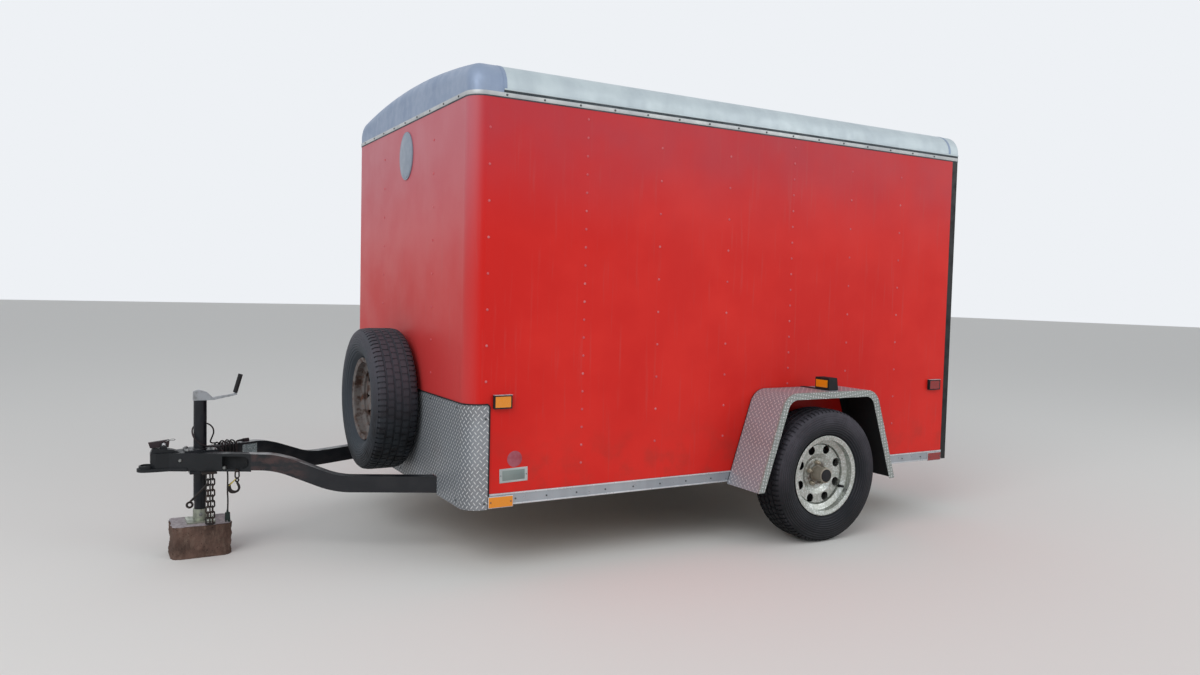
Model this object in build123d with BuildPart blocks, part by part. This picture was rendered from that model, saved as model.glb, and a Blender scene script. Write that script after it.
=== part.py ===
from build123d import *
import os
from math import atan2, cos, degrees, radians, sin, sqrt, tan

# Enclosed cargo trailer, single axle, 6 ft by 10 ft body. Millimetres.
# +X points forward to the coupler, +Y is the left side, +Z is up.
# The origin is on the floor, in the middle of the length and width.

# Body shell
body_length = 3048.0        # front wall face to the rear edge of the side skins
body_width = 1829.0         # over the side skins
wall = 38.0                 # whole wall: skin, post and lining
rail_bottom = 311.0         # underside of the frame rails
rail_height = 55.0
side_height = 1731.5        # side wall, from the rails to the roof cove
eave_rise = 140.0           # where the cove and roof would meet above the walls
crown_rise = 65.0           # arch of the roof between its eaves
cove_radius = 112.0
corner_radius = 75.0        # front corners in plan, and the front cap's bend
corner_return = 10.0        # flat of the front wall behind each corner
roof_skin = 30.0
front_cap_depth = 152.0     # front face back to the seam with the side coves
cove_band = 135.0           # width of each side cove, in from the side
rear_cap_depth = 30.0       # rear header cap, ahead of the rear frame
rear_frame_depth = 44.0
deck_thickness = 19.0
frame_tube = 51.0           # width of the frame rails
bearer_width = 38.0
bearer_pitch = 406.0

# Running gear
axle_setback = 1897.0       # front wall face back to the wheel centres
wheel_radius = 344.5        # ST205/75R15
tyre_width = 205.0
rim_lip_radius = 208.5
rim_width = 140.0           # between the flanges
wheel_gap = 43.0            # body side to the tyre's inner sidewall
hub_reach = 78.0            # tyre's middle plane out to the hub cap's face
hub_radius = 38.0

# Fenders
fender_top = 785.0
fender_foot = 300.0
fender_half_top = 312.0
fender_half_foot = 472.0
fender_bend = 95.0
fender_reach = 255.5        # body side to the fender's outer edge
fender_sheet = 3.0
fender_lip = 34.0

# Tongue, coupler and jack
coupler_reach = 1228.0      # front wall face to the coupler's nose
tongue_angle = 25.0         # each beam from the centreline
tongue_foot = 550.0         # outer face of a beam at the front wall, from the middle
tongue_width = 51.0
tongue_height = 76.0
tongue_bottom = 306.0       # underside at the body
tongue_step = 100.0         # rise towards the coupler
ball_radius = 25.4
jack_setback = 264.0        # coupler nose back to the jack's axis
jack_radius = 28.5
jack_top = 716.0
jack_bottom = 246.0
jack_wall = 2.6
leg_radius = 25.4
block_length = 265.0
block_width = 210.0
block_height = 150.0

# Spare wheel on the front wall
spare_radius = 359.0
spare_width = 223.0
spare_height = 696.0
spare_gap = 16.0            # front wall face to the tyre's near side

# Doors
door_gap = 6.0
rear_post = 50.0
rear_opening_bottom = 390.0
rear_opening_top = 2050.0
side_door_setback = 300.0   # front wall face back to the doorway
side_door_width = 813.0
side_door_bottom = 396.0
side_door_top = 1996.0
hinge_offset = 10.0         # pin axis outside the door's face
hinge_knuckle = 9.0
hinge_pin = 4.0
hinge_height = 125.0
pin_clearance = 0.3
lock_bar_radius = 11.0
lock_bar_offset = 22.0      # bar's axis behind the door's face
gear_reach = 40.0           # rear frame's face back to the outermost lock gear

# Stone guard and side trim
guard_sheet = 2.0
guard_top = 764.0
guard_bottom = 298.0
guard_wrap = 105.0          # front face back to the guard's rear edges
trim_sheet = 3.0

# Worked out from the sizes above
half_width = body_width / 2
overall = coupler_reach + body_length + rear_frame_depth + gear_reach
nose_x = overall / 2
front_x = nose_x - coupler_reach
skin_x = front_x - body_length
rear_x = skin_x - rear_frame_depth
axle_x = front_x - axle_setback
jack_x = nose_x - jack_setback
rail_top = rail_bottom + rail_height
wall_top = rail_top + side_height
lean = radians(tongue_angle)
wheel_y = half_width + wheel_gap + tyre_width / 2
fender_outer = half_width + fender_reach
corner_seam = front_x - corner_radius - corner_return     # front wall meets the side walls
sides = (("left", 1), ("right", -1))     # name, sign of Y

os.makedirs("parts", exist_ok=True)


def save(block, label):
    """Name a finished piece and write it."""
    block.part.label = label
    export_step(block.part, f"parts/{label}.step")


def plan_outline(inset, back):
    """The body in plan, shrunk by inset, from x = back to the rounded front."""
    with BuildSketch(mode=Mode.PRIVATE) as outline:
        with Locations(((back + front_x - inset) / 2, 0)):
            Rectangle(front_x - inset - back, body_width - 2 * inset)
        fillet(outline.vertices().group_by(Axis.X)[-1], corner_radius - inset)
    return outline.sketch


def spread(low, high):
    """Centre and length of a span."""
    return (low + high) / 2, high - low


def bar(x_span, y_span, z_span):
    """A square-edged solid between three pairs of limits, in the current part."""
    (x, dx), (y, dy), (z, dz) = spread(*x_span), spread(*y_span), spread(*z_span)
    with Locations((x, y, z)):
        Box(dx, dy, dz)


# Floor and frame
with BuildPart() as deck:
    with BuildSketch(Plane.XY.offset(rail_top)):
        add(plan_outline(wall, skin_x))
    extrude(amount=deck_thickness)
save(deck, "floor_deck")

with BuildPart() as rails:
    for _, sign in sides:
        bar((skin_x, front_x - guard_wrap),
            sorted((sign * (half_width - frame_tube), sign * half_width)), (rail_bottom, rail_top))
save(rails, "frame_rails")

bearer_run = body_length - guard_wrap - bearer_width
bearer_count = int(bearer_run // bearer_pitch) + 1
with BuildPart() as cross_frame:
    with BuildSketch(Plane.XY.offset(rail_bottom)):
        add(plan_outline(0, front_x - guard_wrap))
        add(plan_outline(frame_tube, front_x - guard_wrap), mode=Mode.SUBTRACT)
    extrude(amount=rail_height)
    for i in range(bearer_count):
        x = skin_x + i * bearer_pitch
        bar((x, x + bearer_width), (frame_tube - half_width, half_width - frame_tube),
            (rail_bottom, rail_top))
save(cross_frame, "cross_frame")

# Walls
with BuildPart() as front_wall:
    with BuildSketch(Plane.XY.offset(rail_top)):
        add(plan_outline(0, corner_seam))
        add(plan_outline(wall, corner_seam), mode=Mode.SUBTRACT)
    extrude(amount=side_height)
save(front_wall, "front_wall")

with BuildPart() as left_wall:
    bar((skin_x, corner_seam), (half_width - wall, half_width), (rail_top, wall_top))
save(left_wall, "left_wall")

side_door_front = front_x - side_door_setback
side_door_rear = side_door_front - side_door_width
with BuildPart() as right_wall:
    bar((skin_x, corner_seam), (-half_width, wall - half_width), (rail_top, wall_top))
    with Locations(((side_door_front + side_door_rear) / 2, wall / 2 - half_width,
                    (side_door_bottom + side_door_top) / 2)):
        Box(side_door_width, wall, side_door_top - side_door_bottom, mode=Mode.SUBTRACT)
save(right_wall, "right_wall")


# Roof: one arched form, cut where the real panels meet
def roof_form(inset, back):
    """Solid under the roof's skin, shrunk by inset, from x = back to the front cap."""
    half = half_width - inset
    eave = wall_top + eave_rise - inset
    across = Plane(origin=(back, 0, 0), x_dir=(0, 1, 0), z_dir=(1, 0, 0))
    with BuildPart(mode=Mode.PRIVATE) as form:
        with BuildSketch(across) as section:
            with BuildLine():
                Line((half, wall_top), (half, eave))
                ThreePointArc((half, eave), (0, eave + crown_rise), (-half, eave))
                Line((-half, eave), (-half, wall_top))
                Line((-half, wall_top), (half, wall_top))
            make_face()
            fillet(section.vertices().group_by(Axis.Y)[-1], cove_radius - inset)
        extrude(amount=front_x - inset - back)
        front = form.faces().sort_by(Axis.X)[-1]
        fillet(front.edges().filter_by(lambda e: e.center().Z > wall_top + 1),
               corner_radius - inset)
    return form.part


roof_outer = roof_form(0, rear_x)
roof_inner = roof_form(roof_skin, skin_x + rear_cap_depth)
roof_shell = roof_outer - roof_inner
roof_room = 2 * (eave_rise + crown_rise)
cap_seam = front_x - front_cap_depth
rear_seam = skin_x + rear_cap_depth
mid_x = (cap_seam + rear_seam) / 2
mid_length = cap_seam - rear_seam

with BuildPart() as front_cap:
    add(roof_shell)
    with Locations((cap_seam - body_length, 0, wall_top)):
        Box(2 * body_length, 2 * body_width, 2 * roof_room, mode=Mode.SUBTRACT)
save(front_cap, "front_cap")

with BuildPart() as rear_cap:
    add(roof_shell)
    with Locations((rear_seam + body_length, 0, wall_top)):
        Box(2 * body_length, 2 * body_width, 2 * roof_room, mode=Mode.SUBTRACT)
save(rear_cap, "rear_header_cap")

with BuildPart() as roof_panel:
    add(roof_shell)
    with Locations((mid_x, 0, wall_top)):
        Box(mid_length, body_width - 2 * cove_band, 2 * roof_room, mode=Mode.INTERSECT)
save(roof_panel, "roof_panel")

with BuildPart() as coves:
    add(roof_shell)
    with Locations((mid_x, 0, wall_top)):
        Box(mid_length, 2 * body_width, 2 * roof_room, mode=Mode.INTERSECT)
        Box(mid_length, body_width - 2 * cove_band, 2 * roof_room, mode=Mode.SUBTRACT)
save(coves, "roof_coves")

# Rear frame, two posts with a header and a sill
rear_half = half_width - rear_post
with BuildPart() as rear_frame:
    bar((rear_x, skin_x), (-half_width, half_width), (rail_bottom, wall_top))
    with Locations(((rear_x + skin_x) / 2, 0, (rear_opening_bottom + rear_opening_top) / 2)):
        Box(rear_frame_depth, 2 * rear_half, rear_opening_top - rear_opening_bottom,
            mode=Mode.SUBTRACT)
save(rear_frame, "rear_frame")


# Hinges: z heights of their middles
rear_hinge_heights = (655.0, 1222.0, 1790.0)
side_hinge_heights = (600.0, 1196.0, 1792.0)
leaf_sheet = 3.0
leaf_near = 14.0            # leaf's near edge from the pin
leaf_far = 44.0
knuckle_gap = 1.0
third = hinge_height / 3


def hinge_half(heights, pin, along, face, outer):
    """One half of each hinge on a vertical pin.

    pin is its place in plan, along the direction from the pin over the leaf and
    face the direction from the pin back to the surface that the leaf lies on.
    The outer half has the end knuckles and the pin, the inner half the middle one.
    """
    turn = Plane(origin=(pin[0], pin[1], 0), x_dir=(along[0], along[1], 0), z_dir=(0, 0, 1))
    flip = 1 if turn.y_dir.dot(Vector(face[0], face[1], 0)) > 0 else -1
    seat = flip * (hinge_offset - leaf_sheet / 2)
    barrels = (-third, third) if outer else (0,)
    with BuildPart() as half:
        for z in heights:
            with BuildSketch(turn.offset(z - hinge_height / 2)):
                with Locations(((leaf_near + leaf_far) / 2, seat)):
                    Rectangle(leaf_far - leaf_near, leaf_sheet)
            extrude(amount=hinge_height)
            for dz in barrels:
                with BuildSketch(turn.offset(z + dz - third / 2 + knuckle_gap / 2)):
                    Circle(hinge_knuckle)
                    with Locations((leaf_near / 2, seat)):
                        Rectangle(leaf_near, leaf_sheet)
                    if not outer:
                        Circle(hinge_pin + pin_clearance, mode=Mode.SUBTRACT)
                extrude(amount=third - knuckle_gap)
            if outer:
                with BuildSketch(turn.offset(z - hinge_height / 2)):
                    Circle(hinge_pin)
                extrude(amount=hinge_height)
    return half.part


rear_pin_x = rear_x - hinge_offset
rear_pin_y = rear_half - door_gap / 2
side_pin_x = side_door_front - door_gap / 2
side_pin_y = -half_width - hinge_offset
with BuildPart() as hinges:
    for _, sign in sides:
        add(hinge_half(rear_hinge_heights, (rear_pin_x, sign * rear_pin_y), (0, sign), (1, 0), True))
    add(hinge_half(side_hinge_heights, (side_pin_x, side_pin_y), (1, 0), (0, 1), True))
save(hinges, "door_hinges")

# Rear doors with their leaves, lock bars and handles
door_bottom = rear_opening_bottom + door_gap
door_top = rear_opening_top - door_gap
lock_bar_y = 95.0
lock_bar_over = 22.0        # bar's end past the door's edge
guide_heights = (470.0, 980.0, 1460.0, 1970.0)
guide_wall = 4.0            # guide past its bar
guide_width = 60.0
guide_height = 50.0
handle_z = 1120.0
handle_length = 230.0
handle_height = 32.0
handle_sheet = 10.0
for name, sign in sides:
    with BuildPart() as door:
        bar((rear_x, rear_x + wall), sorted((sign * door_gap / 2, sign * (rear_half - door_gap))),
            (door_bottom, door_top))
    save(door, f"rear_door_{name}")

    with BuildPart() as gear:
        add(hinge_half(rear_hinge_heights, (rear_pin_x, sign * rear_pin_y), (0, -sign), (1, 0), False))
        with BuildSketch(Plane.XY.offset(rear_opening_bottom - lock_bar_over)):
            with Locations((rear_x - lock_bar_offset, sign * lock_bar_y)):
                Circle(lock_bar_radius)
        extrude(amount=rear_opening_top - rear_opening_bottom + 2 * lock_bar_over)
        for z in guide_heights:
            bar((rear_x - lock_bar_offset - lock_bar_radius - guide_wall, rear_x),
                (sign * lock_bar_y - guide_width / 2, sign * lock_bar_y + guide_width / 2),
                (z - guide_height / 2, z + guide_height / 2))
        bar((rear_x - gear_reach, rear_x - gear_reach + handle_sheet),
            sorted((sign * (lock_bar_y - handle_height / 2), sign * (lock_bar_y + handle_length))),
            (handle_z - handle_height / 2, handle_z + handle_height / 2))
        bar((rear_x - gear_reach, rear_x - lock_bar_offset),
            (sign * lock_bar_y - handle_height / 2, sign * lock_bar_y + handle_height / 2),
            (handle_z - handle_height / 2, handle_z + handle_height / 2))
    save(gear, f"rear_door_gear_{name}")

# Side door in the right wall
with BuildPart() as side_door:
    bar((side_door_rear + door_gap, side_door_front - door_gap), (-half_width, wall - half_width),
        (side_door_bottom + door_gap, side_door_top - door_gap))
save(side_door, "side_door")

side_latch_z = 1180.0
plate_near = 25.0           # doorway's rear edge to the latch plate
plate_length = 80.0
plate_height = 140.0
plate_depth = 14.0
side_handle_near = 35.0     # the same to the handle
side_handle_length = 180.0
side_handle_height = 28.0
side_handle_depth = 16.0
with BuildPart() as side_gear:
    add(hinge_half(side_hinge_heights, (side_pin_x, side_pin_y), (-1, 0), (0, 1), False))
    plate_x = side_door_rear + plate_near
    bar((plate_x, plate_x + plate_length), (-half_width - plate_depth, -half_width),
        (side_latch_z - plate_height / 2, side_latch_z + plate_height / 2))
    handle_x = side_door_rear + side_handle_near
    handle_y = -half_width - plate_depth
    bar((handle_x, handle_x + side_handle_length), (handle_y - side_handle_depth, handle_y),
        (side_latch_z - side_handle_height / 2, side_latch_z + side_handle_height / 2))
save(side_gear, "side_door_gear")

# Stone guard around the front, slotted for the tongue, and the rails' trim
tongue_top = tongue_bottom + tongue_height
slot_clearance = 2.0
guard_corner = 16.0
with BuildPart() as guard:
    with BuildSketch(Plane.XY.offset(guard_bottom)):
        add(plan_outline(-guard_sheet, front_x - guard_wrap))
        add(plan_outline(0, front_x - guard_wrap), mode=Mode.SUBTRACT)
    extrude(amount=guard_top - guard_bottom)
    corners = guard.edges().filter_by(Axis.Y).group_by(Axis.Z)[-1].group_by(Axis.X)[0]
    fillet(corners, guard_corner)
    for _, sign in sides:
        middle = tongue_foot - tongue_width / cos(lean) / 2
        with Locations((front_x, sign * middle, (guard_bottom + tongue_top) / 2)):
            Box(4 * guard_sheet, tongue_width / cos(lean) + 2 * slot_clearance,
                tongue_top - guard_bottom + 2 * slot_clearance, mode=Mode.SUBTRACT)
save(guard, "stone_guard")

with BuildPart() as trims:
    for _, sign in sides:
        bar((skin_x, front_x - guard_wrap),
            sorted((sign * half_width, sign * (half_width + trim_sheet))), (rail_bottom, rail_top))
save(trims, "rail_trims")

# Tongue beams, straight with one step up, cut off at the front wall
beam_run = 1100.0           # along a beam from its foot
step_near = 455.0           # the step's two corners, along the beam from its foot
step_far = 722.0
step_radius = 400.0
arm_x = front_x + 770.0     # where the beams meet the coupler's arms
foot_y = tongue_foot - tongue_width / cos(lean) / 2
with BuildPart() as beams:
    for _, sign in sides:
        side_on = Plane(origin=(front_x, sign * foot_y, 0),
                        x_dir=(cos(lean), -sign * sin(lean), 0),
                        z_dir=(-sign * sin(lean), -cos(lean), 0))
        low = tongue_bottom + tongue_height / 2
        with BuildSketch(side_on):
            with BuildLine():
                FilletPolyline((-tongue_width, low), (step_near, low),
                               (step_far, low + tongue_step), (beam_run, low + tongue_step),
                               radius=step_radius)
            trace(line_width=tongue_height)
        extrude(amount=tongue_width / 2, both=True)
    with Locations((front_x - tongue_width, 0, low)):
        Box(2 * tongue_width, 4 * tongue_foot, 2 * tongue_height, mode=Mode.SUBTRACT)
    with Locations((arm_x + beam_run / 2, 0, low + tongue_step)):
        Box(beam_run, 4 * tongue_foot, 2 * tongue_height, mode=Mode.SUBTRACT)
save(beams, "tongue_beams")


def beam_edge(x):
    """Distance of a beam's outer face from the middle of the trailer."""
    return tongue_foot - (x - front_x) * tan(lean)


# Coupler: a folded wedge open below, its arms on the beams' ends and the ball socket at its nose
coupler_sheet = 6.0
coupler_drop = 6.0          # its lower edge below the beams
ball_setback = 40.0
ball_rise = 26.0            # ball's middle above the coupler's lower edge
socket_clearance = 0.5
throat_half = 38.0
head_setback = 55.0         # nose back to the head's flat front
head_corner = 20.0
lip_width = 6.0
lip_height = 14.0
lip_setback = 200.0         # nose back to the lip's end
crotch_setback = 326.0      # nose back to the edge between the arms
window_near = 7.0           # each arm's window, from the arm's end to its round end
window_far = 127.0
window_height = 58.0
ear_sheet = 6.0
ear_gap = 13.0              # the ears' inner faces from the middle
ear_length = 28.0
latch_pin = 4.0
latch_setback = 110.0       # nose back to the latch's pin
latch_rise = 34.0           # the pin above the coupler's top
latch_half = 11.0
hump_half = 26.0
hump_rows = ((55, -4), (64, 23), (125, 17), (150, 11), (190, -4))    # behind the nose, above the top
latch_rows = ((47, 48), (54, 24), (131, 24), (135, 58))              # the same
coupler_bottom = tongue_bottom + tongue_step - coupler_drop
coupler_top = tongue_bottom + tongue_step + tongue_height
socket_radius = ball_radius + socket_clearance
dome_radius = socket_radius + coupler_sheet
ball_x = nose_x - ball_setback
ball_z = coupler_bottom + ball_rise
head_x = nose_x - head_setback
throat_x = front_x + (tongue_foot - throat_half) / tan(lean)
crotch_x = nose_x - crotch_setback
lip_x = nose_x - lip_setback
arm_inset = tongue_width / cos(lean)
pocket_x = ball_x - dome_radius - coupler_sheet
half_plan = ((crotch_x, beam_edge(crotch_x) - arm_inset), (arm_x, beam_edge(arm_x) - arm_inset),
             (arm_x, beam_edge(arm_x)), (throat_x, throat_half), (head_x - head_corner, throat_half),
             (head_x, throat_half - head_corner))
half_lip = ((lip_x, beam_edge(lip_x) + lip_width), (throat_x, throat_half + lip_width),
            (head_x - head_corner, throat_half + lip_width), (ball_x, ball_setback))


def mirrored_loop(half):
    """Points of a half outline and their mirror images, in order."""
    return half + tuple((x, -y) for x, y in half[::-1])


with BuildPart() as coupler:
    with BuildSketch(Plane.XY.offset(coupler_bottom)) as plan:
        with BuildLine():
            Polyline(*mirrored_loop(half_plan), close=True)
        make_face()
    extrude(amount=coupler_top - coupler_bottom)
    with BuildSketch(Plane.XY.offset(coupler_bottom)):
        with BuildLine():
            Polyline(*mirrored_loop(half_lip), close=True)
        make_face()
        with Locations((ball_x, 0)):
            Circle(ball_setback)
    extrude(amount=lip_height)
    with BuildSketch(Plane.XY.offset(coupler_bottom)):
        with Locations((ball_x, 0)):
            Circle(dome_radius)
    extrude(amount=ball_rise)
    with Locations((ball_x, 0, ball_z)):
        Sphere(dome_radius, arc_size1=0)
    with BuildSketch(Plane.XZ):
        with BuildLine():
            Polyline(*[(nose_x - back, coupler_top + up) for back, up in hump_rows], close=True)
        make_face()
    extrude(amount=hump_half, both=True)
    with BuildSketch(Plane.XY.offset(coupler_bottom)):
        add(offset(plan.sketch_local, amount=-coupler_sheet, kind=Kind.INTERSECTION, mode=Mode.PRIVATE))
        with Locations((pocket_x + head_setback, 0)):
            Rectangle(2 * head_setback, 4 * throat_half, mode=Mode.SUBTRACT)
    extrude(amount=coupler_top - coupler_bottom - coupler_sheet, mode=Mode.SUBTRACT)
    for _, sign in sides:
        ear_y = sign * (ear_gap + ear_sheet / 2)
        with BuildSketch(Plane.XZ.offset(-ear_y)):
            with Locations((nose_x - latch_setback, coupler_top + latch_rise / 2)):
                Rectangle(ear_length, latch_rise)
            with Locations((nose_x - latch_setback, coupler_top + latch_rise)):
                Circle(ear_length / 2)
                Circle(latch_pin + pin_clearance, mode=Mode.SUBTRACT)
        extrude(amount=ear_sheet / 2, both=True)
    with Locations((ball_x, 0, ball_z)):
        Sphere(socket_radius, mode=Mode.SUBTRACT)
    with BuildSketch(Plane.XY.offset(coupler_bottom)):
        with Locations((ball_x, 0)):
            Circle(socket_radius)
    extrude(amount=ball_rise, mode=Mode.SUBTRACT)
    with BuildSketch(Plane.XY.offset(coupler_bottom)):
        with Locations((jack_x, 0)):
            Circle(jack_radius + pin_clearance)
    extrude(amount=coupler_top - coupler_bottom, mode=Mode.SUBTRACT)
    for _, sign in sides:
        skirt = Plane(origin=(arm_x, sign * beam_edge(arm_x), (coupler_bottom + coupler_top) / 2),
                      x_dir=(cos(lean), -sign * sin(lean), 0), z_dir=(sin(lean), sign * cos(lean), 0))
        with BuildSketch(skirt):
            with Locations(((window_near + window_far + window_height / 2) / 2, 0)):
                Rectangle(window_far - window_near - window_height / 2, window_height)
            with Locations((window_near + window_height / 2, 0)):
                Circle(window_height / 2)
        extrude(amount=coupler_sheet + 1, both=True, mode=Mode.SUBTRACT)
save(coupler, "coupler")

with BuildPart() as latch:
    with BuildSketch(Plane.XZ):
        with BuildLine():
            Polyline(*[(nose_x - back, coupler_top + up) for back, up in latch_rows], close=True)
        make_face()
    extrude(amount=latch_half, both=True)
    with BuildSketch(Plane.XZ):
        with Locations((nose_x - latch_setback, coupler_top + latch_rise)):
            Circle(latch_pin)
    extrude(amount=ear_gap + ear_sheet + latch_pin, both=True)
save(latch, "coupler_latch")

# Jack: a tube through the coupler with a plate above and a collar below it
flange_sheet = 8.0
flange_length = 137.0
flange_width = 120.0
collar_sheet = 12.0
collar_length = 104.0
collar_width = 190.0
with BuildPart() as jack:
    for low, high, inner in ((jack_bottom, jack_top - jack_wall, jack_radius - jack_wall),
                             (jack_top - jack_wall, jack_top, 0)):
        with BuildSketch(Plane.XY.offset(low)):
            with Locations((jack_x, 0)):
                Circle(jack_radius)
                if inner:
                    Circle(inner, mode=Mode.SUBTRACT)
        extrude(amount=high - low)
    for low, sheet, length, width in ((coupler_top, flange_sheet, flange_length, flange_width),
                                      (coupler_bottom - collar_sheet, collar_sheet, collar_length,
                                       collar_width)):
        with BuildSketch(Plane.XY.offset(low)):
            with Locations((jack_x, 0)):
                Rectangle(length, width)
                Circle(jack_radius - jack_wall, mode=Mode.SUBTRACT)
        extrude(amount=sheet)
save(jack, "jack_tube")

# Crank: rows are behind the jack's axis, above the jack's top, round the arm's side view
crank_rows = ((-31, 1), (-29, 42), (-4, 50), (29, 38), (54, 12), (160, 29), (160, 21), (60, 1))
crank_plan = ((-31, 17), (40, 17), (80, 11), (160, 10))              # behind the axis, half width
crank_shaft = 12.0
grip_radius = 10.5
grip_length = 90.0
grip_lean = radians(15.6)
grip_back = 152.0           # grip's foot behind the jack's axis
grip_foot = 32.0            # and above the jack's top
grip_pin = 5.0
with BuildPart() as crank:
    with BuildSketch(Plane.XZ):
        with BuildLine():
            Polyline(*[(jack_x - back, jack_top + up) for back, up in crank_rows], close=True)
        make_face()
    extrude(amount=jack_radius, both=True)
    with BuildSketch(Plane.XY.offset(jack_top)):
        with BuildLine():
            Polyline(*[(jack_x - back, side)
                       for back, side in mirrored_loop(crank_plan)], close=True)
        make_face()
    extrude(amount=crank_rows[2][1], mode=Mode.INTERSECT)
    with BuildSketch(Plane.XY.offset(jack_top)):
        with Locations((jack_x, 0)):
            Circle(crank_shaft)
    extrude(amount=2 * crank_rows[0][1])
    grip_plane = Plane(origin=(jack_x - grip_back, 0, jack_top + grip_foot), x_dir=(0, 1, 0),
                       z_dir=(-sin(grip_lean), 0, cos(grip_lean)))
    with BuildSketch(grip_plane.offset(-grip_radius)):
        Circle(grip_pin)
    extrude(amount=grip_radius + grip_length - grip_pin)
save(crank, "jack_crank")

with BuildPart() as grip:
    with BuildSketch(grip_plane):
        Circle(grip_radius)
    extrude(amount=grip_length)
    with BuildSketch(grip_plane):
        Circle(grip_pin + pin_clearance)
    extrude(amount=grip_length - grip_pin + 1, mode=Mode.SUBTRACT)
save(grip, "crank_grip")

foot_sheet = 8.0
foot_size = 120.0
foot_collar = 5.0
socket_height = 50.0
leg_top = 600.0
block_corner = 14.0
block_edge = 8.0
with BuildPart() as leg:
    with BuildSketch(Plane.XY.offset(block_height + foot_sheet)):
        with Locations((jack_x, 0)):
            Circle(leg_radius)
    extrude(amount=leg_top - block_height - foot_sheet)
save(leg, "jack_leg")

with BuildPart() as foot:
    with BuildSketch(Plane.XY.offset(block_height)):
        with Locations((jack_x, 0)):
            Rectangle(foot_size, foot_size)
    extrude(amount=foot_sheet)
    with BuildSketch(Plane.XY.offset(block_height + foot_sheet)):
        with Locations((jack_x, 0)):
            Circle(leg_radius + foot_collar)
            Circle(leg_radius, mode=Mode.SUBTRACT)
    extrude(amount=socket_height)
save(foot, "jack_foot")

with BuildPart() as block:
    bar((jack_x - block_length / 2, jack_x + block_length / 2),
        (-block_width / 2, block_width / 2), (0, block_height))
    chamfer(block.edges().filter_by(Axis.Z), block_corner)
    chamfer(block.faces().sort_by(Axis.Z)[-1].edges(), block_edge)
save(block, "foot_block")

# Safety chains: welded links of square wire, one doubled over with a rod hook, one short
link_wire = 7.0
link_inner = 25.0
link_pitch = 25.4           # a little over the link's inner length, so neighbours join
link_width = 24.0
link_corner = 7.0
strand_y = 131.0
strand_backs = (10.0, 43.0)         # the doubled chain's two strands behind the jack's axis
strand_links = 9
tab_sheet = 8.0
tab_edge = 15.0             # the tab past the strands on each side
short_back = 138.0          # the short chain behind the jack's axis
short_y = 180.0
short_links = 3
lug_height = 12.0
lug_half = 5.0
hook_wire = 8.0
hook_eye = 11.0
hook_turns = (20, -45)
round_sides = 8             # eyes, rod and loop, drawn with flat sides
hook_rows = ((0, -9), (-8, -21), (-5, -35), (14, -40), (29, -31), (31, -17))   # side, up, from the eye
rod_radius = 4.0
rod_top = (jack_x - strand_backs[0], strand_y + link_width / 2 - link_wire / 2, 350.0)
rod_foot = (jack_x + 51.0, 75.0, 256.0)
loop_radius = 16.0


def link_form(centre, along, roll):
    """One link round centre, its length along a direction and turned by roll about it."""
    square_on = Vector(0, 1, 0).rotate(Axis((0, 0, 0), along), roll)
    with BuildPart() as link:
        with BuildSketch(Plane(origin=centre, x_dir=along, z_dir=square_on)) as ring:
            Rectangle(link_inner + 2 * link_wire, link_width)
            chamfer(ring.vertices(), link_corner)
            Rectangle(link_inner, link_width - 2 * link_wire, mode=Mode.SUBTRACT)
        extrude(amount=link_wire / 2, both=True)
    return link.part


def slip_hook(eye, turn):
    """A chain's hook below its eye, turned about the vertical."""
    side_on = Plane(origin=eye, x_dir=(cos(radians(turn)), sin(radians(turn)), 0),
                    z_dir=(sin(radians(turn)), -cos(radians(turn)), 0))
    with BuildPart() as hook:
        with BuildSketch(side_on):
            with BuildLine():
                Polyline(*hook_rows)
            trace(line_width=hook_wire)
            RegularPolygon(hook_eye, round_sides)
            RegularPolygon(hook_eye - link_wire, round_sides, mode=Mode.SUBTRACT)
        extrude(amount=hook_wire / 2, both=True)
    return hook.part


tab_bottom = coupler_bottom - tab_sheet
strand_first = tab_bottom - link_inner / 2
strand_last = strand_first - (strand_links - 1) * link_pitch
turn_z = strand_last - link_inner / 2 - link_wire / 2
short_first = coupler_bottom - link_inner / 2 + 3
short_foot = short_first - (short_links - 1) * link_pitch - link_inner / 2 - link_wire - link_wire
with BuildPart() as chains:
    strand_middle = jack_x - sum(strand_backs) / 2
    strand_half = (strand_backs[1] - strand_backs[0]) / 2 + tab_edge
    bar((strand_middle - strand_half, strand_middle + strand_half),
        (collar_width / 2 + 2, strand_y + link_width / 2), (tab_bottom, coupler_bottom))
    for back in strand_backs:
        for i in range(strand_links):
            add(link_form((jack_x - back, strand_y, strand_first - i * link_pitch), (0, 0, 1), 90 * (i % 2)))
    add(link_form((strand_middle, strand_y, turn_z), (1, 0, 0), 0))
    bar((jack_x - short_back - lug_half, jack_x - short_back + lug_half),
        (beam_edge(jack_x - short_back - lug_half), short_y + link_wire / 2),
        (coupler_bottom, coupler_bottom + lug_height))
    for i in range(short_links):
        add(link_form((jack_x - short_back, short_y, short_first - i * link_pitch), (0, 0, 1), 90 * (i % 2)))
    for turn in hook_turns:
        add(slip_hook((jack_x - short_back, short_y, short_foot), turn))
    rod_line = Vector(*rod_foot) - Vector(*rod_top)
    with BuildSketch(Plane(origin=rod_top, z_dir=rod_line)):
        RegularPolygon(rod_radius, round_sides)
    extrude(amount=rod_line.length)
    with BuildSketch(Plane.XZ.offset(-rod_foot[1])):
        with Locations((rod_foot[0], rod_foot[2] - loop_radius)):
            RegularPolygon(loop_radius, round_sides)
            RegularPolygon(loop_radius - 2 * rod_radius, round_sides, mode=Mode.SUBTRACT)
    extrude(amount=rod_radius, both=True)
save(chains, "safety_chains")

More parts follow.
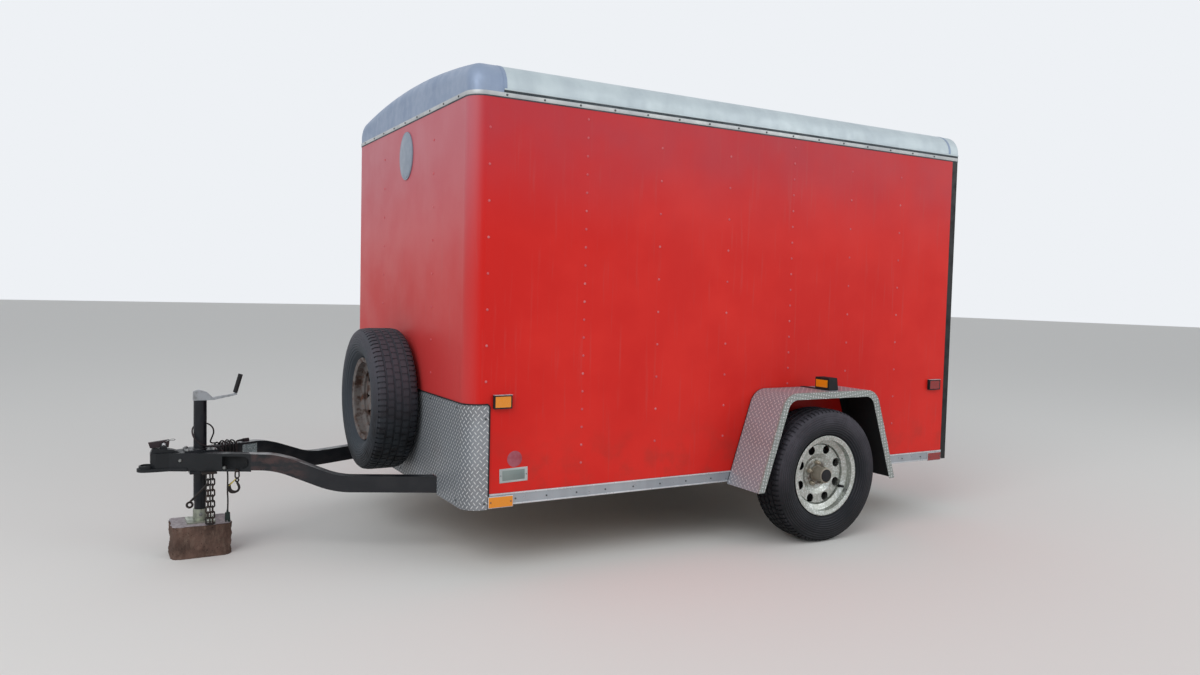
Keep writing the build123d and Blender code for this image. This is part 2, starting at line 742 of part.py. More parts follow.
# Lead: out of a grommet on the right beam, wound on the coupler's arm, round the jack, down to its plug
lead_radius = 3.5
grommet_radius = 8.0
grommet_near = 50.0         # the grommet's ends behind the arm's end, along the beam
grommet_far = 20.0
lead_rise = 8.0             # the lead's middle above the beams where it leaves the grommet
wrap_near = 24.0            # the turns' ends, along the beam from the arm's end
wrap_far = 116.0
wrap_thick = 10.0
wrap_heap = 27.0            # the turns' top above the arm
wrap_corner = 9.0
plug_radius = 9.0
plug_length = 50.0
arm_middle = arm_inset / 2 - beam_edge(arm_x)


def along_arm(run):
    """Vertical plane across the right arm, facing forward, its origin on the arm's top."""
    return Plane(origin=(arm_x + run * cos(lean), arm_middle + run * sin(lean), coupler_top),
                 x_dir=(-sin(lean), cos(lean), 0), z_dir=(cos(lean), sin(lean), 0))


def lead_form(route):
    """A tube along a route, each corner's arc as large as its two runs allow."""
    points = [Vector(*point) for point in route]
    runs = [after - before for before, after in zip(points, points[1:])]
    radii = []
    for before, after in zip(runs, runs[1:]):
        half_turn = radians(before.get_angle(after)) / 2
        radii.append(0.45 * min(before.length, after.length) / tan(half_turn))
    with BuildPart() as form:
        with BuildLine() as path:
            FilletPolyline(*points, radius=radii)
        with BuildSketch(Plane(origin=path.line @ 0, z_dir=path.line % 0)):
            Circle(lead_radius)
        sweep(path=path.line)
    print("lead:", round(sum(edge.length for edge in path.edges())), "mm of path")
    return form.part


with BuildPart() as grommet:
    with BuildSketch(along_arm(-grommet_near)):
        with Locations((0, lead_rise)):
            Circle(grommet_radius)
        with Locations((0, lead_rise / 2)):
            Rectangle(2 * grommet_radius, lead_rise)
    extrude(amount=grommet_near - grommet_far)
save(grommet, "lead_grommet")

with BuildPart() as wraps:
    with BuildSketch(along_arm(wrap_near)) as winding:
        with Locations((0, (wrap_heap - wrap_thick - tongue_height - coupler_drop) / 2)):
            Rectangle(tongue_width + 2 * wrap_thick,
                      wrap_heap + wrap_thick + tongue_height + coupler_drop)
        fillet(winding.vertices(), wrap_corner)
        with Locations((0, -(tongue_height + coupler_drop) / 2)):
            Rectangle(tongue_width, tongue_height + coupler_drop, mode=Mode.SUBTRACT)
    extrude(amount=wrap_far - wrap_near)
save(wraps, "lead_wraps")


def arm_point(run, aside, rise):
    """A point beside the right arm: along it, in towards the middle, above its top."""
    return along_arm(run).from_local_coords((aside, rise, 0))


# Free stretches of the lead: to the turns, and from them to the plug
start_route = (arm_point(-grommet_far, 0, lead_rise), arm_point(-6, 0, lead_rise),
               arm_point(10, 4, 10), arm_point(wrap_near, 4, 10))
lead_route = (arm_point(wrap_far, 6, 13), arm_point(wrap_far + 31, 6, 13),
              (1866.0, -72.0, 506.0), (1860.0, -51.0, 530.0), (1850.0, -42.0, 560.0),
              (1862.0, -42.0, 590.0), (1892.0, -50.0, 604.0), (1930.0, -50.0, 598.0),
              (1962.0, -14.0, 580.0), (1957.0, 32.0, 550.0),
              (1930.0, 48.0, 522.0), (1890.0, 46.0, 504.0), (1857.0, 37.0, 503.0),
              (1831.0, 39.0, 494.0), (1819.0, 49.0, 463.0), (1812.0, 62.0, 425.0),
              (1806.0, 80.0, 388.0), (1808.0, 104.0, 352.0), (1812.0, 119.0, 308.0),
              (1809.0, 123.0, 256.0), (1811.0, 121.0, 205.0))
with BuildPart() as lead_start:
    add(lead_form(start_route))
save(lead_start, "lead_start")

with BuildPart() as lead:
    add(lead_form(lead_route))
save(lead, "lead_tube")

with BuildPart() as plug:
    hang = Vector(*lead_route[-1]) - Vector(*lead_route[-2])
    with BuildSketch(Plane(origin=lead_route[-1], z_dir=hang)):
        Circle(plug_radius)
    extrude(amount=plug_length)
save(plug, "lead_plug")

# Torsion axle: a square tube under the rails, trailing arms and stub axles
axle_tube = 76.0
arm_length = 152.0
arm_sheet = 25.0
arm_half = 30.0
arm_clear = 7.5             # body side to the arm
stub_radius = 20.0
stub_reach = 30.0           # stub axle's end past the tyre's middle plane
arm_boss = 26.0             # radius of the tube's round end
arm_rise = wheel_radius - (rail_bottom - axle_tube / 2)
arm_run = sqrt(arm_length ** 2 - arm_rise ** 2)
tube_x = axle_x + arm_run
tube_z = rail_bottom - axle_tube / 2
arm_y = half_width + arm_clear
with BuildPart() as axle:
    bar((tube_x - axle_tube / 2, tube_x + axle_tube / 2), (-half_width, half_width),
        (rail_bottom - axle_tube, rail_bottom))
    for _, sign in sides:
        outward = Plane(origin=(0, sign * half_width, 0), x_dir=(-sign, 0, 0), z_dir=(0, sign, 0))
        with BuildSketch(outward):
            with Locations((-sign * tube_x, tube_z)):
                Circle(arm_boss)
        extrude(amount=arm_clear)
        with BuildSketch(outward.offset(arm_clear)):
            with BuildLine():
                Line((-sign * tube_x, tube_z), (-sign * axle_x, wheel_radius))
            trace(line_width=2 * arm_half)
            with Locations((-sign * tube_x, tube_z), (-sign * axle_x, wheel_radius)):
                Circle(arm_half)
        extrude(amount=arm_sheet)
        with BuildSketch(outward.offset(arm_clear + arm_sheet)):
            with Locations((-sign * axle_x, wheel_radius)):
                Circle(stub_radius)
        extrude(amount=wheel_y + stub_reach - arm_y - arm_sheet)
save(axle, "torsion_axle")

# Wheels: the rim's section is (across from the middle plane, radius)
rim_sheet = 5.0
bead_radius = 190.5
well_radius = 165.0
well_half = 30.0
bead_near = 42.0
flange_half = rim_width / 2
lug_circle = 57.15
lug_count = 5
lug_hole = 8.0
disc_room = 45.0            # cuts through the disc reach this far each way
hub_depth = 62.0            # the hub's inner end from the tyre's middle plane
hub_flange = 75.0           # radius
hub_flange_sheet = 12.0
stub_end_gap = 5.0


bead_clearance = 0.5
tyre_sides = 32
crown_rows = ((0, 82), (4, 45), (16, 14), (36, 0))    # in from the widest, down from the crown
bead_rows = ((0, 86), (8, 112))                       # the same, on the way in to the bead


def rim_profile(inset):
    """Half of a drop-centre rim's section, as (radius, across), from the well to the flange."""
    return [(well_radius - inset, well_half), (bead_radius - inset, bead_near),
            (bead_radius - inset, flange_half)]


def wheel_form(centre, side_dir, disc, windows):
    """A steel wheel whose axis runs along side_dir through centre."""
    face_on = Plane(origin=centre, x_dir=(0, 0, 1), z_dir=side_dir)
    spin = Plane(origin=centre, x_dir=(0, 0, 1), z_dir=Vector(0, 0, 1).cross(Vector(*side_dir)))
    outer = rim_profile(0) + [(rim_lip_radius - 3, flange_half + 1),
                              (rim_lip_radius, flange_half + 8)]
    inner = rim_profile(rim_sheet) + [(bead_radius - rim_sheet, flange_half + 4),
                                      (rim_lip_radius - 5, flange_half + 8)]
    loop = ([(r, y) for r, y in outer[::-1]] + [(r, -y) for r, y in outer]
            + [(r, -y) for r, y in inner[::-1]] + [(r, y) for r, y in inner])
    with BuildPart() as wheel:
        for outline in (loop, disc):
            with BuildSketch(spin):
                with BuildLine():
                    Polyline(outline, close=True)
                make_face()
            revolve(axis=Axis(centre, side_dir))
        with BuildSketch(face_on.offset(-disc_room)):
            with PolarLocations(lug_circle, lug_count):
                Circle(lug_hole)
            add(windows)
        extrude(amount=2 * disc_room, mode=Mode.SUBTRACT)
    return wheel.part


with BuildSketch() as round_windows:
    with PolarLocations(133, 8, start_angle=22.5):
        Circle(23)

with BuildSketch() as wedge_windows:
    with PolarLocations(122, 8):
        RegularPolygon(26, 3, rotation=180)

# The disc's section as (radius, across), from its bore out to the rim's well and back
centre_bore = hub_radius + 2.5
disc_seat = well_radius - 2
plain_disc = [(centre_bore, 0), (82, 0), (108, 15), (150, 17), (disc_seat - 2, 2), (disc_seat, 2),
              (disc_seat, 10), (152, 22), (106, 20), (80, 5), (centre_bore, 5)]
for name, sign in sides:
    with BuildPart() as wheel:
        add(wheel_form((axle_x, sign * wheel_y, wheel_radius), (0, sign, 0), plain_disc,
                       round_windows.sketch))
    save(wheel, f"wheel_{name}")

    with BuildPart() as hub:
        centre = (axle_x, sign * wheel_y, wheel_radius)
        out = Plane(origin=centre, x_dir=(0, 0, 1), z_dir=(0, sign, 0))
        with BuildSketch(out.offset(-hub_depth)):
            Circle(hub_radius)
        extrude(amount=hub_depth + hub_reach)
        with BuildSketch(out.offset(-hub_flange_sheet)):
            Circle(hub_flange)
        extrude(amount=hub_flange_sheet)
        with BuildSketch(out.offset(-hub_depth)):
            Circle(stub_radius + pin_clearance)
        extrude(amount=hub_depth + stub_reach + stub_end_gap, mode=Mode.SUBTRACT)
    save(hub, f"hub_{name}")


def tyre_form(centre, side_dir, radius, width):
    """A tyre as a ring of flat facets, one of them level at the bottom."""
    face_on = Plane(origin=centre, x_dir=(0, 0, 1), z_dir=side_dir)
    half = width / 2
    bead_out = flange_half - bead_clearance
    lip = rim_lip_radius + bead_clearance

    def facet_stack(rows):
        """Many-sided solid through rows of distance along the axle and radius."""
        with BuildPart() as stack:
            for (near, reach), (far, far_reach) in zip(rows, rows[1:]):
                with BuildSketch(face_on.offset(near)):
                    RegularPolygon(reach, tyre_sides, major_radius=False, rotation=180 / tyre_sides)
                extrude(amount=far - near, taper=degrees(atan2(reach - far_reach, far - near)))
        return stack.part

    outer = [(half - near, radius - drop) for near, drop in crown_rows]
    dish = [(half - near, radius - drop) for near, drop in bead_rows] + [(bead_out, lip)]
    with BuildPart() as form:
        add(facet_stack([(-across, reach) for across, reach in outer] + outer[::-1]))
        add(facet_stack([(-bead_out, bead_radius), (bead_out, bead_radius)]), mode=Mode.SUBTRACT)
        add(facet_stack(dish[::-1]), mode=Mode.SUBTRACT)
        add(facet_stack([(-across, reach) for across, reach in dish]), mode=Mode.SUBTRACT)
    return form.part


for name, sign in sides:
    with BuildPart() as tyre:
        add(tyre_form((axle_x, sign * wheel_y, wheel_radius), (0, sign, 0), wheel_radius, tyre_width))
    save(tyre, f"tyre_{name}")

spare_x = front_x + spare_gap + spare_width / 2
spare_centre = (spare_x, 0, spare_height)
with BuildPart() as spare_wheel:
    add(wheel_form(spare_centre, (1, 0, 0), plain_disc, wedge_windows.sketch))
save(spare_wheel, "spare_wheel")

with BuildPart() as spare_tyre:
    add(tyre_form(spare_centre, (1, 0, 0), spare_radius, spare_width))
save(spare_tyre, "spare_tyre")

bracket_foot = (6.0, 220.0, 120.0)      # depth, width and height of its foot plate
bracket_arm = 60.0                      # width and height of the arm that carries the wheel
with BuildPart() as spare_bracket:
    depth, width, height = bracket_foot
    bar((front_x + guard_sheet, front_x + guard_sheet + depth), (-width / 2, width / 2),
        (spare_height - height / 2, spare_height + height / 2))
    bar((front_x + guard_sheet, spare_x), (-bracket_arm / 2, bracket_arm / 2),
        (spare_height - bracket_arm / 2, spare_height + bracket_arm / 2))
save(spare_bracket, "spare_bracket")

# Fenders, bent from one sheet with a lip along the outer edge
below = 60.0                # the bent sheet runs this far past the foot before it is cut level
for name, sign in sides:
    side_on = Plane(origin=(axle_x, 0, 0), x_dir=(-sign, 0, 0), z_dir=(0, sign, 0))
    foot_run = (fender_half_foot - fender_half_top) / (fender_top - fender_foot)
    ends = fender_half_foot + below * foot_run
    path = ((ends, fender_foot - below), (fender_half_top, fender_top - fender_sheet / 2),
            (-fender_half_top, fender_top - fender_sheet / 2), (-ends, fender_foot - below))
    lip_path = ((ends - fender_lip / 2, fender_foot - below),
                (fender_half_top - fender_lip / 2, fender_top - fender_lip / 2),
                (-fender_half_top + fender_lip / 2, fender_top - fender_lip / 2),
                (-ends + fender_lip / 2, fender_foot - below))
    inner = half_width + trim_sheet
    with BuildPart() as fender:
        with BuildSketch(side_on.offset(inner)):
            with BuildLine():
                FilletPolyline(*path, radius=fender_bend)
            trace(line_width=fender_sheet)
        extrude(amount=fender_outer - inner)
        for start in (inner, fender_outer - fender_sheet):
            with BuildSketch(side_on.offset(start)):
                with BuildLine():
                    FilletPolyline(*lip_path, radius=fender_bend - fender_lip / 2)
                trace(line_width=fender_lip)
            extrude(amount=fender_sheet)
        with Locations((axle_x, sign * fender_outer, fender_foot - below)):
            Box(4 * fender_half_foot, 2 * fender_outer, 2 * below, mode=Mode.SUBTRACT)
    save(fender, f"fender_{name}")

# Lamps: each row is x of the middle, z of the middle, length, height
lamp_depth = 18.0
amber_lamp = (front_x - 162, 773.0, 74.0, 48.0)
red_lamp = (skin_x + 94, 765.0, 80.0, 48.0)
reflector_depth = 5.0
amber_reflector = (front_x - 163, 328.0, 114.0, 46.0)
red_reflector = (skin_x + 60, 331.0, 108.0, 44.0)


def side_plates(rows, start, depth):
    """The same rectangles on both sides of the body."""
    for x, z, length, height in rows:
        for _, sign in sides:
            bar((x - length / 2, x + length / 2), sorted((sign * start, sign * (start + depth))),
                (z - height / 2, z + height / 2))


# Fender lamps: a wedge whose lens faces forward, on a strip that runs in to the body
lamp_front = axle_x - 8
lamp_y = half_width + 163
lamp_foot = 66.0            # length at the fender
lamp_crown = 56.0           # length at the top
lamp_width = 100.0
lamp_height = 62.0
lens_width = 80.0
lens_height = 38.0
lens_sheet = 5.0
bracket_width = 30.0
bracket_sheet = 3.0
lamp_seat = fender_top + bracket_sheet
with BuildPart() as amber:
    side_plates([amber_lamp], half_width, lamp_depth)
    side_plates([amber_reflector], half_width + trim_sheet, reflector_depth)
    for _, sign in sides:
        bar((lamp_front, lamp_front + lens_sheet),
            (sign * lamp_y - lens_width / 2, sign * lamp_y + lens_width / 2),
            (lamp_seat + lamp_height / 2 - lens_height / 2, lamp_seat + lamp_height / 2 + lens_height / 2))
save(amber, "amber_lenses")

tail_lamp_y = 760.0
tail_lamp_width = 164.0
tail_lamp_depth = 14.0
tail_lamp_span = (10.0, 67.0)           # bottom and top above the rails' underside
with BuildPart() as red:
    side_plates([red_lamp], half_width, lamp_depth)
    side_plates([red_reflector], half_width + trim_sheet, reflector_depth)
    for _, sign in sides:
        bar((rear_x - tail_lamp_depth, rear_x),
            (sign * tail_lamp_y - tail_lamp_width / 2, sign * tail_lamp_y + tail_lamp_width / 2),
            (rail_bottom + tail_lamp_span[0], rail_bottom + tail_lamp_span[1]))
save(red, "red_lenses")

with BuildPart() as fender_lamps:
    for _, sign in sides:
        with BuildSketch(Plane.XZ.offset(-sign * lamp_y)):
            with BuildLine():
                Polyline((lamp_front, lamp_seat), (lamp_front, lamp_seat + lamp_height),
                         (lamp_front - lamp_crown, lamp_seat + lamp_height),
                         (lamp_front - lamp_foot, lamp_seat), close=True)
            make_face()
        extrude(amount=lamp_width / 2, both=True)
        bar((lamp_front - lamp_foot, lamp_front),
            (sign * lamp_y - lamp_width / 2, sign * lamp_y + lamp_width / 2), (fender_top, lamp_seat))
        bar((lamp_front - bracket_width, lamp_front),
            sorted((sign * half_width, sign * lamp_y)), (fender_top, lamp_seat))
save(fender_lamps, "fender_lamps")
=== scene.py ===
import bpy
from math import atan2, cos, floor, pi, radians, sin, tan
from mathutils import Matrix, Quaternion, Vector


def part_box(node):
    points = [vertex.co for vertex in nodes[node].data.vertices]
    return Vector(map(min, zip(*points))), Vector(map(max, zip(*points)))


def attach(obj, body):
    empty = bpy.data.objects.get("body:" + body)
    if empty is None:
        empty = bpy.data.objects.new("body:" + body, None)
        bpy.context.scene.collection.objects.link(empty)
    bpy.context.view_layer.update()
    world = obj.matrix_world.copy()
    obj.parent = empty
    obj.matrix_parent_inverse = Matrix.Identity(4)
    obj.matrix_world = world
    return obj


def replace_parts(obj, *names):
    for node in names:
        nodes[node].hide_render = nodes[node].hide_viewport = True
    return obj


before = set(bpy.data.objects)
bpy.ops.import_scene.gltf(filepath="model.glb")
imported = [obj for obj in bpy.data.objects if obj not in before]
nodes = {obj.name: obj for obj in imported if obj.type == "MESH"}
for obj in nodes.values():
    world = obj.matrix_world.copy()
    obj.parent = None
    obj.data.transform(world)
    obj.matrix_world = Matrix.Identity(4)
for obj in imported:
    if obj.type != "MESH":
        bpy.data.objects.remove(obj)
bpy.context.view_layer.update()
bpy.ops.object.select_all(action='DESELECT')
print("frame loaded:", len(nodes), "nodes")


# Camera, as in the photograph: a wide phone lens at chest height
camera = {
    "place": (2.3626, 4.4914, 1.2600),
    "heading": -0.5233,      # radians, turned from straight across the trailer
    "tilt": -0.0498,
    "roll": 0.0245,
    "lens": 26.59,           # mm, as is the sensor's width
    "sensor": 36,
    "farthest": 200,
}


def addCamera():
    bpy.ops.object.camera_add(location=camera["place"])
    shot = bpy.context.object
    shot.name = "photoCamera"
    turn = Quaternion((0, 0, 1), pi + camera["heading"])
    turn = turn @ Quaternion((1, 0, 0), pi / 2 + camera["tilt"])
    turn = turn @ Quaternion((0, 0, 1), camera["roll"])
    shot.rotation_euler = turn.to_euler()
    shot.data.sensor_width = camera["sensor"]
    shot.data.lens = camera["lens"]
    shot.data.clip_end = camera["farthest"]
    bpy.context.scene.camera = shot


addCamera()


# Materials. A recipe is a tuple of a node's kind and its inputs: numbers, hex colours and other recipes.
# Each kind has its type, settings, inputs with their usual values, and output. Others are math operations
point = ("point",)
nodeKinds = {
    "point": ('ShaderNodeTexCoord', {}, {}, "Object"),
    "stretch": ('ShaderNodeMapping', {}, {"Scale": (1, 1, 1), "Vector": point}, "Vector"),
    "noise": ('ShaderNodeTexNoise', {},
              {"Scale": 1, "Detail": 3, "Vector": point, "Roughness": 0.55}, "Fac"),
    "spangle": ('ShaderNodeTexVoronoi', {}, {"Scale": 1, "Vector": point}, "Distance"),
    "prism": ('ShaderNodeTexWave', {"bands_direction": 'X'}, {"Scale": 1, "Vector": point}, "Fac"),
    "ease": ('ShaderNodeMapRange', {"interpolation_type": 'SMOOTHSTEP'},
             {"Value": 0, "From Min": 0, "From Max": 1, "To Min": 0, "To Max": 1}, "Result"),
    "mix": ('ShaderNodeMix', {"data_type": 'RGBA'}, {"Factor": 0, 6: "#000000", 7: "#000000"}, 2),
    "bump": ('ShaderNodeBump', {}, {"Height": 0, "Distance": 0}, "Normal"),
}
for axis in "XYZ":
    nodeKinds[axis] = ('ShaderNodeSeparateXYZ', {}, {"Vector": point}, axis)
for ray in ("Is Camera Ray", "Is Glossy Ray", "Is Transmission Ray"):
    nodeKinds[ray] = ('ShaderNodeLightPath', {}, {}, ray)
shaderSockets = {"colour": "Base Color", "rough": "Roughness", "metal": "Metallic", "bump": "Normal",
                 "coat": "Coat Weight"}
materials = {}


def hexColour(code):
    parts = [int(code[i:i + 2], 16) / 255 for i in (1, 3, 5)]    # sRGB to linear
    parts = [p / 12.92 if p <= 0.04045 else ((p + 0.055) / 1.055) ** 2.4 for p in parts]
    return (*parts, 1)


def addNode(tree, recipe, made):
    # Adds a recipe's node with its settings and links; one that comes again is made once
    if recipe not in made:
        kind, *values = recipe
        usual = ('ShaderNodeMath', {"operation": kind}, {0: 0, 1: 0}, 0)
        name, settings, inputs, output = nodeKinds.get(kind, usual)
        node = tree.nodes.new(name)
        for setting, value in settings.items():
            setattr(node, setting, value)
        values += list(inputs.values())[len(values):]
        fillInputs(tree, node, dict(zip(inputs, values)), made)
        made[recipe] = node.outputs[output]
    return made[recipe]


def fillInputs(tree, node, values, made):
    for socket, value in values.items():
        if isinstance(value, tuple) and isinstance(value[0], str):
            tree.links.new(addNode(tree, value, made), node.inputs[socket])
        else:
            node.inputs[socket].default_value = hexColour(value) if isinstance(value, str) else value


def newMaterial(name, plain, roughness, metallic=0.0, specular=0.5, **recipes):
    # Plain values on the shader's sockets, then the recipes that take their place
    material = bpy.data.materials.new(name)
    material.use_nodes = True
    tree = material.node_tree
    shader = tree.nodes["Principled BSDF"]
    fillInputs(tree, shader, {"Base Color": plain, "Roughness": roughness, "Metallic": metallic,
                              "Specular IOR Level": specular}, {})
    fillInputs(tree, shader, {shaderSockets[key]: recipe for key, recipe in recipes.items()}, {})
    materials[name] = material


def patches(scale, detail, low, high, start=0, end=1, stretch=(1, 1, 1)):
    # Noise of so many cycles per metre, eased from start to end as it goes from low to high
    return ("ease", ("noise", scale, detail, ("stretch", stretch)), low, high, start, end)


def layered(colour, *layers):
    # Each layer is where it lies and its colour
    for where, tint in layers:
        colour = ("mix", where, colour, tint)
    return colour


def radial(centre, axis):
    # Metres from a line through centre, along X where axis is 0 and along Y where it is 1
    aside = ("SUBTRACT", ("Y",) if axis == 0 else ("X",), centre[1 - axis])
    above = ("SUBTRACT", ("Z",), centre[2])
    return ("SQRT", ("ADD", ("MULTIPLY", aside, aside), ("MULTIPLY", above, above)))


# Baked enamel on 0.8 mm sheet, chalked by the sun: matt, paler and pinker where the weather
# strikes it, which is near the roof and on the front; on the front wall that paler, pinker tone is
# partly a painted reflection of the sky
def chalkedEnamel(name, frontFadeAndPaintedReflection):
    height = ("Z",)
    # On the front wall the paler, pinker tone is partly fade and partly a painted reflection of the sky
    ahead = ("ease", ("X",), 0.885, 0.955, 0, 0.85)
    front = [(ahead, "#c63f3f"), (("MULTIPLY", ahead, ("ease", height, 1.2, 2.1, 0, 0.75)), "#bb7986")]
    newMaterial(
        name, "#d8241d", 0.45, specular=0.2,
        colour=layered(
            "#d21f19", (patches(1.6, 4, 0.35, 0.7), "#dd2b23"),
            (("MULTIPLY", ("ease", height, 1.45, 2.12), patches(2.2, 5, 0.2, 0.8, 0.45, 1)), "#b73d47"),
            *(front if frontFadeAndPaintedReflection else []),
            (patches(5, 3, 0.55, 0.8, 0, 0.25, (9, 9, 0.5)), "#b65a58"),      # rain streaks, about 20 mm
            (("MULTIPLY", ("ease", height, 0.75, 0.36), patches(9, 5, 0.4, 0.75, 0, 0.35)), "#8c3a30")),
        rough=patches(3, 4, 0.3, 0.7, 0.36, 0.5),
        bump=("bump", ("noise", 2.1, 2), 0.004))      # the sheet is slightly wavy between its posts


# Mill-finish aluminium sheet, dulled outdoors, with vertical tones from rain
def weatheredAluminium(name, colour, tint, roughness=0.5):
    tone = patches(7, 4, 0.3, 0.75, stretch=(1, 1, 0.15))
    newMaterial(name, colour, roughness, 0.35, colour=("mix", tone, colour, tint),
                rough=patches(20, 3, 0.3, 0.7, roughness - 0.08, roughness + 0.1))


# Aluminium tread plate: bright lens-shaped lugs in alternate directions on a dull sheet
def treadPlate(name, run, across, sheet, shade, shaded, *painted):
    # Run and across are the pattern's coordinates in metres; shaded is where the sheet takes its shade
    slanted = 0.022 * 2 ** 0.5      # the lugs stand 22 mm apart, and slant across the sheet
    u, v = ("DIVIDE", ("ADD", run, across), slanted), ("DIVIDE", ("SUBTRACT", run, across), slanted)
    cellU, cellV = ("SUBTRACT", ("FRACT", u), 0.5), ("SUBTRACT", ("FRACT", v), 0.5)
    parity = ("FLOORED_MODULO", ("ADD", ("FLOOR", u), ("FLOOR", v)), 2)
    apart = ("MULTIPLY", ("SUBTRACT", cellV, cellU), parity)
    long = ("DIVIDE", ("ADD", cellU, apart), 0.5)
    short = ("DIVIDE", ("SUBTRACT", cellV, apart), 0.12)
    lug = ("ease", ("ADD", ("POWER", long, 2), ("POWER", short, 2)), 1.0, 0.45)
    newMaterial(
        name, sheet, 0.45, 0.25,
        colour=layered(sheet, (shaded, shade), (patches(5, 5, 0.4, 0.75, 0, 0.35), "#6c6866"),
                       (("MULTIPLY", lug, 0.9), "#e2e4e5"), *painted),
        rough=("ease", lug, 0, 1, 0.5, 0.34), bump=("bump", lug, 0.0013))


# Black gloss enamel on tube, dull with dust and rust at its edges
def dustyEnamel(name, colour, dust, amount, roughness=0.4):
    patch = ("MULTIPLY", patches(14, 6, 0.42, 0.72), amount)
    newMaterial(name, colour, roughness, specular=0.35, colour=("mix", patch, colour, dust),
                rough=patches(14, 6, 0.4, 0.7, roughness, 0.75), bump=("bump", ("noise", 160, 4), 0.0006))


# The tongue's black enamel: paler in patches along the top, and rusted through behind the coupler on the
# left
def beamEnamel(name):
    behind = ("MULTIPLY", ("ease", ("X",), 1.47, 1.56), ("ease", ("X",), 1.735, 1.70))
    rusty = ("MULTIPLY", behind, ("ease", ("Y",), 0.1, 0.12))
    top = ("ease", ("SUBTRACT", ("Z",), 0.479), 0, 0.0025, 0, 0.75)
    newMaterial(
        name, "#11141a", 0.34, specular=0.42,
        colour=layered(
            "#11141a", (patches(14, 6, 0.42, 0.72, 0, 0.4), "#29282a"),
            (("MULTIPLY", rusty, patches(26, 6, 0.36, 0.60, 0, 0.85, (0.6, 0.6, 1.2))), "#43302f"),
            (("MULTIPLY", top, patches(9, 5, 0.35, 0.55)), "#8d9093")),
        rough=patches(14, 6, 0.4, 0.7, 0.3, 0.6), bump=("bump", ("noise", 160, 4), 0.0005))


# Bright zinc plating, going grey with white bloom and spotted with rust
def zincPlate(name, colour, rust):
    newMaterial(name, colour, 0.38, 0.85,
                colour=layered(colour, (patches(40, 4, 0.4, 0.7, 0, 0.6), "#6d6e6b"),
                               (patches(60, 6, 0.62, 0.75, 0, rust), "#5a3d2a")),
                rough=patches(40, 4, 0.35, 0.7, 0.3, 0.55))


# Hot-dip galvanised wheel: pale spangle, with rust bleeding from the lug nuts, darkened round them as a
# painted shadow
def galvanisedWheel(name, centre):
    tone = ("ease", ("spangle", 90), 0.1, 0.7)
    # The dark ring round the lug nuts is rust and painted shadow
    rust = ("MULTIPLY", ("ease", radial(centre, 1), 0.088, 0.055), patches(32, 6, 0.40, 0.60, 0, 0.9))
    newMaterial(name, "#b4b6ae", 0.34, 0.8,
                colour=layered("#d6dad8", (tone, "#b2b6b0"), (patches(12, 5, 0.4, 0.7, 0, 0.5), "#8f9187"),
                               (rust, "#54463a")),
                metal=("SUBTRACT", 0.75, ("MULTIPLY", rust, 0.7)),
                rough=patches(24, 4, 0.3, 0.7, 0.26, 0.46), bump=("bump", tone, 0.0002))


# Silver wheel enamel rusted through over most of the disc
def rustedSilver(name):
    newMaterial(name, "#5a4a42", 0.7, 0.2,
                colour=layered("#6f6a68", (patches(22, 7, 0.42, 0.62), "#3f2a20"),
                               (patches(55, 5, 0.55, 0.75, 0, 0.6), "#7a4a30")),
                bump=("bump", ("noise", 180, 6), 0.0008))


# A label whose print has worn to grey specks on pale foil
def speckledLabel(name):
    specks = patches(260, 4, 0.45, 0.55)
    newMaterial(name, "#8f9a9c", 0.5, colour=("mix", specks, "#98a4a5", "#5b666b"),
                bump=("bump", specks, 0.0002))


# Rubber, vinyl, roof sealing compound, and dark strips painted as shadow, faded and dusty
def fadedRubber(name, colour, dust):
    newMaterial(name, colour, 0.72, specular=0.3, colour=("mix", patches(18, 5, 0.35, 0.75), colour, dust),
                bump=("bump", ("noise", 300, 3), 0.0003))


# Tyre rubber with its sidewall's fine moulded rings, and towards the shoulder patches that are paler high up
# and darker low down
def ringedRubber(name, centre, axis, inner, growth=1):
    reach = ("DIVIDE", radial(centre, axis), growth)
    rings = ("SINE", ("MULTIPLY", reach, 2 * pi / 0.0115))      # 11.5 mm apart
    shoulder = ("MULTIPLY", ("ease", reach, 0.225, 0.320), patches(15, 5, 0.3, 0.75, 0.5, 1))
    upper = ("ease", ("SUBTRACT", ("Z",), centre[2]), -0.16, 0.22)
    lines = ("MULTIPLY", ("ease", rings, 0.55, 0.95, 0, 0.5), patches(6, 3, 0.35, 0.6))
    sidewall = ("MULTIPLY", ("ease", reach, 0.322, 0.316), ("ease", reach, 0.218, 0.222))
    newMaterial(name, "#19191c", 0.7, specular=0.3,
                colour=layered(inner, (shoulder, ("mix", upper, "#09090c", "#4b4850")), (lines, "#46454c")),
                bump=("bump", ("MULTIPLY", rings, sidewall), 0.0012))


# Moulded acrylic lens, with a prism texture behind its smooth face
def mouldedLens(name, colour):
    newMaterial(name, colour, 0.12, coat=0.4, bump=("bump", ("prism", 40), 0.0006))


# Plywood, varnished once and worn, its grain along X
def wornPlywood(name):
    grain = patches(18, 5, 0.3, 0.7, stretch=(0.25, 6, 1))
    newMaterial(name, "#9b7a55", 0.65, colour=("mix", grain, "#8a6744", "#a98660"))


